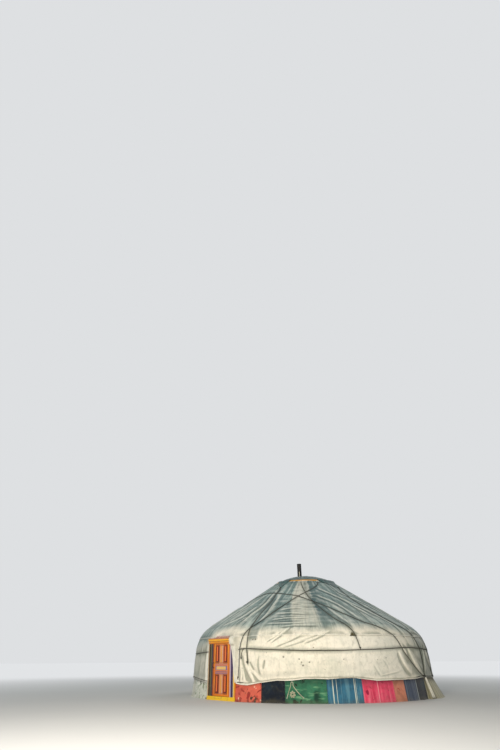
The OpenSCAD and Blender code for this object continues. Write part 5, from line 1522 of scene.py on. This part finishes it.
# rawhide knots where the laths cross
hideMaterial = fibreMaterial("rawhide", linear(94, 62, 36), linear(170, 130, 86), 0.002, 0.5,
                             roughness=0.6, specular=0.3, sheen=0.0)
lattice = {"inner": 3.6728, "knotIn": 0.0132, "count": 60, "rows": 3}  # its pitch is that of the felt behind it
knotTree, gi, go = geometryTree("latticeKnots", ("Knot Size", "Float"), ("Seed", "Int"),
                                ("Material", "Material"))
g = knotTree
points = put(g, "GeometryNodeMeshToPoints", {"Mesh": gi["Geometry"]}).outputs[0]
ball = put(g, "GeometryNodeMeshUVSphere", {"Segments": 8, "Rings": 5, "Radius": gi["Knot Size"]}).outputs[0]
flat = put(g, "GeometryNodeTransform", {"Geometry": ball, "Scale": (1.0, 1.0, 0.7)}).outputs[0]
tab = put(g, "GeometryNodeMeshCube", {"Size": (0.026, 0.007, 0.004)}).outputs[0]
tab = put(g, "GeometryNodeTransform", {"Geometry": tab, "Translation": (0.0, 0.0, 0.004)}).outputs[0]
both = put(g, "GeometryNodeJoinGeometry")
g.links.new(flat, both.inputs[0])
g.links.new(tab, both.inputs[0])
place = put(g, "GeometryNodeInputPosition").outputs[0]
inward = put(g, "ShaderNodeVectorMath", {0: place, 1: (-1.0, -1.0, 0.0)}, operation="MULTIPLY").outputs[0]
facing = put(g, "FunctionNodeAlignRotationToVector", {"Vector": inward}, axis="Z").outputs[0]
size = put(g, "FunctionNodeRandomValue", {2: 0.8, 3: 1.2, "Seed": gi["Seed"]}, data_type="FLOAT").outputs[1]
ins = {"Points": points, "Instance": both.outputs[0], "Rotation": facing, "Scale": size}
tied = put(g, "GeometryNodeInstanceOnPoints", ins).outputs[0]
finishTree(g, tied, gi["Material"], go)
crossings = []
for i in range(lattice["count"]):
    for k in range(2 * lattice["rows"] + 1):
        mid = k % 2
        angle = math.radians(felt["doorAngle"] + (i + 0.5 * mid) * felt["pitch"])
        if i == 0 and not mid:
            continue
        r = lattice["inner"] * (math.cos(math.radians(felt["pitch"] / 2)) if mid else 1.0) - lattice["knotIn"]
        crossings.append((r * math.sin(angle), -r * math.cos(angle), felt["foot"] + k * felt["halfRow"]))
source = meshObject("crossingPoints", crossings, [])
latticeKnots = grown("latticeKnots", source, knotTree, {"Knot Size": 0.0075, "Seed": 3,
        "Material": hideMaterial})
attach(latticeKnots, "yurt")
print("knots:", len(crossings))


# painted and bare wood, iron and sheet metal on the CAD nodes

def dress(material, *names):
    for name in names:
        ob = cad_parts[name]
        if not ob.material_slots:
            ob.data.materials.append(material)
        for slot in ob.material_slots:
            slot.material = material


def paintedWood(name, colour, wood=linear(120, 88, 56), wear=0.5, level=False):
    # colour is one, or a function that makes it from the tree and the position; level turns the grain level
    material, tree, shader = startMaterial(name, roughness=0.45, specular=0.4, coat=0.12)
    position = objectVector(tree)
    if callable(colour):
        colour = colour(tree, position)
    grainVector = stretched(tree, position, (1, 1, 1), rotation=(0, math.pi / 2, 0)) if level else position
    ins = {"Colour": colour, "Wood": wood, "Wear": wear, "Position": grainVector}
    paint = put(tree, "ShaderNodeGroup", ins, node_tree=paintGroup)
    finishMaterial(tree, shader, paint.outputs[0], paint.outputs[2], 0.002, 0.5, paint.outputs[1])
    return material


def bandRamp(tree, value, high, stops):  # bands of plain colour, each from its own value up
    low = stops[0][0]
    ramp = put(tree, "ShaderNodeValToRGB", {0: span(tree, value, low, high, curve="LINEAR")})
    ramp.color_ramp.interpolation = "CONSTANT"
    elements = ramp.color_ramp.elements
    while len(elements) > 1:
        elements.remove(elements[-1])
    for k, (at, colour) in enumerate(stops):
        element = elements[0] if k == 0 else elements.new((at - low) / (high - low))
        element.position = (at - low) / (high - low)
        element.color = colour
    return ramp.outputs[0]


def unevenEdge(tree, position, axis, size=0.004):  # a coordinate whose bands end in an uneven line
    wave = times(tree, minus(tree, texture(tree, position, 26.0, 3.0), 0.5), size)
    return plus(tree, coordinate(tree, position, axis), wave)


door = {"face": -3.762, "fieldX": 0.18, "fieldWidth": 0.148, "upper": (0.868, 1.302), "lower": (0.153, 0.595),
        "rail": (0.64, 0.83)}


def banded(axis, size, high, stops):  # paint in bands along one axis
    return lambda tree, position: bandRamp(tree, unevenEdge(tree, position, axis, size), high,
                                           [(at, linear(*rgb)) for at, rgb in stops])


jambRight = banded(0, 0.004, 0.60, [
    (0.33, (206, 116, 30)), (0.363, (232, 140, 34)), (0.380, (176, 164, 178)), (0.4245, (58, 40, 82)),
    (0.500, (120, 96, 120)), (0.508, (236, 222, 150)), (0.540, (240, 178, 50)), (0.583, (214, 128, 28))])
jambLeft = banded(0, 0.004, -0.33, [
    (-0.60, (92, 62, 34)), (-0.584, (222, 200, 160)), (-0.556, (104, 66, 34)), (-0.522, (50, 42, 24)),
    (-0.492, (110, 104, 60)), (-0.455, (48, 46, 34)), (-0.428, (52, 44, 62)), (-0.378, (132, 84, 44))])
cornice = banded(2, 0.003, 1.49, [
    (1.33, (226, 132, 24)), (1.358, (150, 74, 20)), (1.366, (236, 158, 30)), (1.398, (176, 84, 22)),
    (1.408, (246, 182, 40)), (1.446, (212, 128, 26)), (1.458, (136, 58, 40)), (1.468, (206, 150, 112))])


def leafPattern(tree, position):
    side, z = absolute(tree, coordinate(tree, position, 0)), unevenEdge(tree, position, 2, 0.003)
    plain, blue, orange = linear(226, 126, 16), linear(120, 104, 146), linear(234, 146, 34)
    rails = bandRamp(tree, z, 1.5, [(0.0, plain), (0.606, blue), (0.616, orange), (0.626, blue), (0.634, plain),
                                    (0.838, blue), (0.846, orange), (0.856, blue), (0.866, plain)])
    worn = span(tree, texture(tree, position, 3.0, 4.0), 0.35, 0.7)
    body = mix(tree, worn, linear(218, 116, 14), linear(238, 150, 26))
    body = mix(tree, math2(tree, "LESS_THAN", side, 0.318), linear(196, 88, 22), body)
    return mix(tree, math2(tree, "LESS_THAN", side, 0.262), body, rails)


def panelPattern(tree, position):  # four red panels, two strips between them and the rail field
    x, z = coordinate(tree, position, 0), coordinate(tree, position, 2)
    side, fromRail = absolute(tree, x), apart(tree, z, 0.735)
    fromMiddle = apart(tree, side, door["fieldX"])
    fromEnd = minus(tree, minus(tree, 0.350, apart(tree, fromRail, 0.355)), 0.1305)
    groove = math2(tree, "MAXIMUM", fromMiddle, minus(tree, 0.070, fromEnd))
    # dark red paint round the panel edges, deepened as painted shade, and a painted highlight down the middle of
    # each raised panel
    red = mix(tree, span(tree, groove, 0.028, 0.040), linear(206, 76, 20), linear(98, 18, 12))
    raised = times(tree, span(tree, fromMiddle, 0.016, 0.008), span(tree, fromEnd, 0.035, 0.06))
    red = mix(tree, raised, red, linear(238, 142, 66))
    strip = mix(tree, span(tree, side, 0.032, 0.036), linear(222, 150, 62), linear(206, 182, 148))
    strip = mix(tree, span(tree, side, 0.050, 0.054), strip, linear(214, 108, 30))
    blue, orange = linear(120, 104, 152), linear(228, 134, 26)
    inner = mix(tree, math2(tree, "GREATER_THAN", side, 0.205), linear(232, 190, 110), blue)
    field = bandRamp(tree, z, 0.84, [(0.63, orange), (0.652, blue), (0.668, orange), (0.694, blue),
                                     (0.802, orange)])
    strips = times(tree, math2(tree, "GREATER_THAN", z, 0.710), math2(tree, "LESS_THAN", z, 0.786))
    field = mix(tree, strips, field, inner)
    upright = mix(tree, math2(tree, "LESS_THAN", side, 0.085), red, strip)
    return mix(tree, math2(tree, "LESS_THAN", fromRail, 0.097), upright, field)


dress(paintedWood("doorThreshold", linear(240, 196, 36), linear(124, 92, 40), 0.9, True), "threshold")
dress(paintedWood("doorLintel", cornice, level=True), "lintel")
dress(paintedWood("doorJambRight", jambRight), "right_jamb")
dress(paintedWood("doorJambLeft", jambLeft, wear=0.6), "left_jamb")
dress(paintedWood("doorLeaf", leafPattern, wear=0.35), "door_leaf")
dress(paintedWood("doorPanels", panelPattern, wear=0.3), "door_panels")
dress(paintedWood("polePaint", linear(176, 62, 34), wear=0.8), "roof_poles_right", "roof_poles_back",
      "roof_poles_left")
dress(paintedWood("crownPaint", linear(196, 142, 58), linear(110, 76, 40), 0.8), "crown_ring", "crown_spokes")

lathMaterial, tree, shader = startMaterial("lathWood", roughness=0.75, specular=0.25)
position = objectVector(tree)
wood = texture(tree, stretched(tree, position, (26.0, 26.0, 16.0)), 1.0, 7.0, 0.65, 1.2)
colour = mix(tree, span(tree, wood, 0.3, 0.7), linear(150, 112, 72), linear(104, 72, 44))
weathered = span(tree, texture(tree, position, 2.2, 5.0), 0.45, 0.7, 0.0, 0.6)
colour = mix(tree, weathered, colour, linear(128, 106, 80))
finishMaterial(tree, shader, colour, wood, 0.002, 0.5)
dress(lathMaterial, *["lattice_%d" % k for k in range(1, 7)])

pipeMaterial = metalMaterial("sootyPipe", linear(20, 20, 21), linear(58, 40, 30), 0.4, 0.0015, 0.6, 0.7, 0.35)
dress(metalMaterial("darkIron", linear(66, 66, 70), linear(112, 66, 38), 0.5, 0.001, 0.5, 0.5,
                    0.8), "door_handle")
dress(pipeMaterial, "stove_pipe")
dress(metalMaterial("sheetSteel", linear(150, 154, 156), linear(120, 76, 50), 0.6, 0.001, 0.4, 0.45,
                    0.85), "pipe_plate")
print("frame nodes dressed")


# mouldings round the door panels

def moulding(x0, x1, z0, z1, y, size):  # mitred frame with a rounded top, inner side at the given rectangle
    profile = [(0.0, 0.0), (0.0, 0.7), (0.25, 1.0), (0.6, 0.9), (1.0, 0.45), (1.0, 0.0)]
    verts, faces = [], []
    for out, up in profile:
        d = out * size[0]
        for cx, cz in ((x0 - d, z0 - d), (x1 + d, z0 - d), (x1 + d, z1 + d), (x0 - d, z1 + d)):
            verts.append((cx, y - up * size[1], cz))
    for k in range(len(profile)):
        m = (k + 1) % len(profile)
        for c in range(4):
            e = (c + 1) % 4
            faces.append((k * 4 + c, m * 4 + c, m * 4 + e, k * 4 + e))
    return verts, faces


def joined(name, parts, material, welded=True):
    verts, faces = [], []
    for v, f in parts:
        faces += [tuple(i + len(verts) for i in face) for face in f]
        verts += v
    ob = meshObject(name, verts, faces, material, smooth=not welded)
    if welded:
        with edited(ob) as bm:
            bmesh.ops.remove_doubles(bm, verts=bm.verts, dist=1e-6)
            bmesh.ops.recalc_face_normals(bm, faces=bm.faces)
    return ob


darkTrim = paintedWood("doorTrimDark", linear(84, 30, 22), wear=0.25)
blueTrim = paintedWood("doorTrimBlue", linear(150, 132, 160), wear=0.3)
half = door["fieldWidth"] / 2
face, fieldX = door["face"] + 0.001, door["fieldX"]
redFrames, blueFrames = [], []
for z0, z1 in (door["upper"], door["lower"]):
    redFrames += [moulding(x - half, x + half, z0, z1, face, (0.010, 0.006)) for x in (-fieldX, fieldX)]
    blueFrames.append(moulding(-half, half, z0, z1, face, (0.006, 0.004)))
blueFrames.append(moulding(-fieldX - half, fieldX + half, *door["rail"], face, (0.007, 0.005)))
for name, parts, material in (("panelMouldings", redFrames, darkTrim),
                              ("stripMouldings", blueFrames, blueTrim)):
    piece = joined(name, parts, material)
    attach(piece, "door")
print("mouldings ready")

# seam and bands of the stove pipe
pipe = {"x": -0.12, "y": -0.12, "radius": 0.075, "seamAngle": math.radians(36), "low": 3.36, "high": 3.86}


def pipeBand(z, height, out):
    verts, faces, n = [], [], 48
    for k, (dz, r) in enumerate(((0, 0), (0.1, 1), (0.5, 1.25), (0.9, 1), (1, 0))):
        for i in range(n):
            a = 2 * math.pi * i / n
            rr = pipe["radius"] - 0.0005 + out * r
            verts.append((pipe["x"] + rr * math.cos(a), pipe["y"] + rr * math.sin(a), z + dz * height))
    for k in range(4):
        for i in range(n):
            j = (i + 1) % n
            faces.append((k * n + i, k * n + j, (k + 1) * n + j, (k + 1) * n + i))
    return verts, faces


def pipeSeam():
    verts, faces = [], []
    rows = np.linspace(pipe["low"], pipe["high"], 24)
    for z in rows:
        for off, out in ((-0.010, 0.0), (-0.008, 0.003), (0.008, 0.0035), (0.010, 0.0)):
            a = pipe["seamAngle"] + off / pipe["radius"]
            r = pipe["radius"] + out
            verts.append((pipe["x"] + r * math.sin(a), pipe["y"] - r * math.cos(a), z))
    for k in range(len(rows) - 1):
        for i in range(3):
            faces.append((k * 4 + i, k * 4 + i + 1, k * 4 + i + 5, k * 4 + i + 4))
    return verts, faces


def seamHighlightAndWear(tree):  # pale below, as worn metal and as a painted highlight on the lit side of the pipe; sooty above
    return mix(tree, span(tree, coordinate(tree, objectVector(tree), 2), 3.64, 3.6), linear(60, 58, 54),
               linear(176, 172, 152))


seamMaterial = metalMaterial("pipeSeamSteel", seamHighlightAndWear, linear(110, 76, 48), 0.5, 0.001, 0.4, 0.5, 0.5)
pipeTrim = joined("pipeBands", [pipeBand(3.868, 0.02, 0.003), pipeBand(3.50, 0.016, 0.0025)],
                  pipeMaterial, False)
pipeLine = meshObject("pipeSeam", *pipeSeam(), seamMaterial)
for piece in (pipeTrim, pipeLine):
    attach(piece, "yurt")

# floor, backdrop, lights and camera
stage = {"floor": linear(200, 198, 192), "sky": linear(222, 224, 226), "radius": 220.0}
floorMaterial, tree, shader = startMaterial("paleFloor", roughness=0.95, specular=0.1)
position = objectVector(tree)
distance = put(tree, "ShaderNodeVectorMath", {0: position}, operation="LENGTH").outputs["Value"]
far = span(tree, distance, 6.0, 26.0)
tone = texture(tree, position, 0.35, 3.0)
near = mix(tree, span(tree, tone, 0.3, 0.7, 0.0, 0.12), stage["floor"], linear(186, 184, 178))
tree.links.new(mix(tree, far, near, (0.0, 0.0, 0.0, 1)), shader.inputs["Base Color"])
tree.links.new(far, shader.inputs["Emission Strength"])
shader.inputs["Emission Color"].default_value = stage["sky"]
ring = [(stage["radius"] * math.cos(a), stage["radius"] * math.sin(a), -0.001) for a in np.linspace(0,
        2 * math.pi, 65)[:-1]]
floor = meshObject("floor", ring, [tuple(range(64))], floorMaterial)

world = bpy.data.worlds.new("studio")
scene.world = world
world.use_nodes = True
wt = world.node_tree
wt.nodes.clear()
lightPath = put(wt, "ShaderNodeLightPath")
seen = math2(wt, "MAXIMUM", lightPath.outputs["Is Camera Ray"], lightPath.outputs["Is Glossy Ray"])
seen = math2(wt, "MAXIMUM", seen, lightPath.outputs["Is Transmission Ray"])
ambient = put(wt, "ShaderNodeBackground", {"Color": (0.86, 0.93, 1.0, 1), "Strength": 0.27})
backdrop = put(wt, "ShaderNodeBackground", {"Color": stage["sky"], "Strength": 1.0})
blend = put(wt, "ShaderNodeMixShader", {0: seen, 1: ambient.outputs[0], 2: backdrop.outputs[0]})
wt.links.new(blend.outputs[0], put(wt, "ShaderNodeOutputWorld").inputs[0])


def areaLight(name, azDeg, elevation, distance, size, power, colour):
    light = bpy.data.lights.new(name, "AREA")
    light.shape = "DISK"
    light.size = size
    light.energy = power
    light.color = colour
    ob = linked(name, light)
    a, e = math.radians(azDeg), math.radians(elevation)
    place = Vector((math.sin(a) * math.cos(e), -math.cos(a) * math.cos(e), math.sin(e))) * distance
    ob.location = place + Vector((0, 0, 1.2))
    ob.rotation_euler = (-place).to_track_quat("-Z", "Y").to_euler()


areaLight("key", 33, 14, 17, 4.0, 1780, (1.0, 0.95, 0.885))
areaLight("fill", -75, 35, 18, 8.0, 560, (0.86, 0.94, 1.0))
areaLight("rim", 190, 45, 18, 8.0, 700, (0.9, 0.95, 1.0))

cameraData = bpy.data.cameras.new("camera")
cameraData.sensor_fit = "VERTICAL"
cameraData.sensor_height = 36
cameraData.lens = 22.08
cameraData.clip_end = 500
camera = linked("camera", cameraData)
pitch, tilt = 0.554, -0.005
ahead = Vector((-0.7353 * math.cos(pitch), 0.6778 * math.cos(pitch), math.sin(pitch)))
turned = ahead.to_track_quat("-Z", "Y").to_matrix().to_4x4() @ Matrix.Rotation(tilt, 4, "Z")
camera.matrix_world = Matrix.Translation((11.820, -13.502, 0.945)) @ turned
scene.camera = camera
print("camera and lights ready")
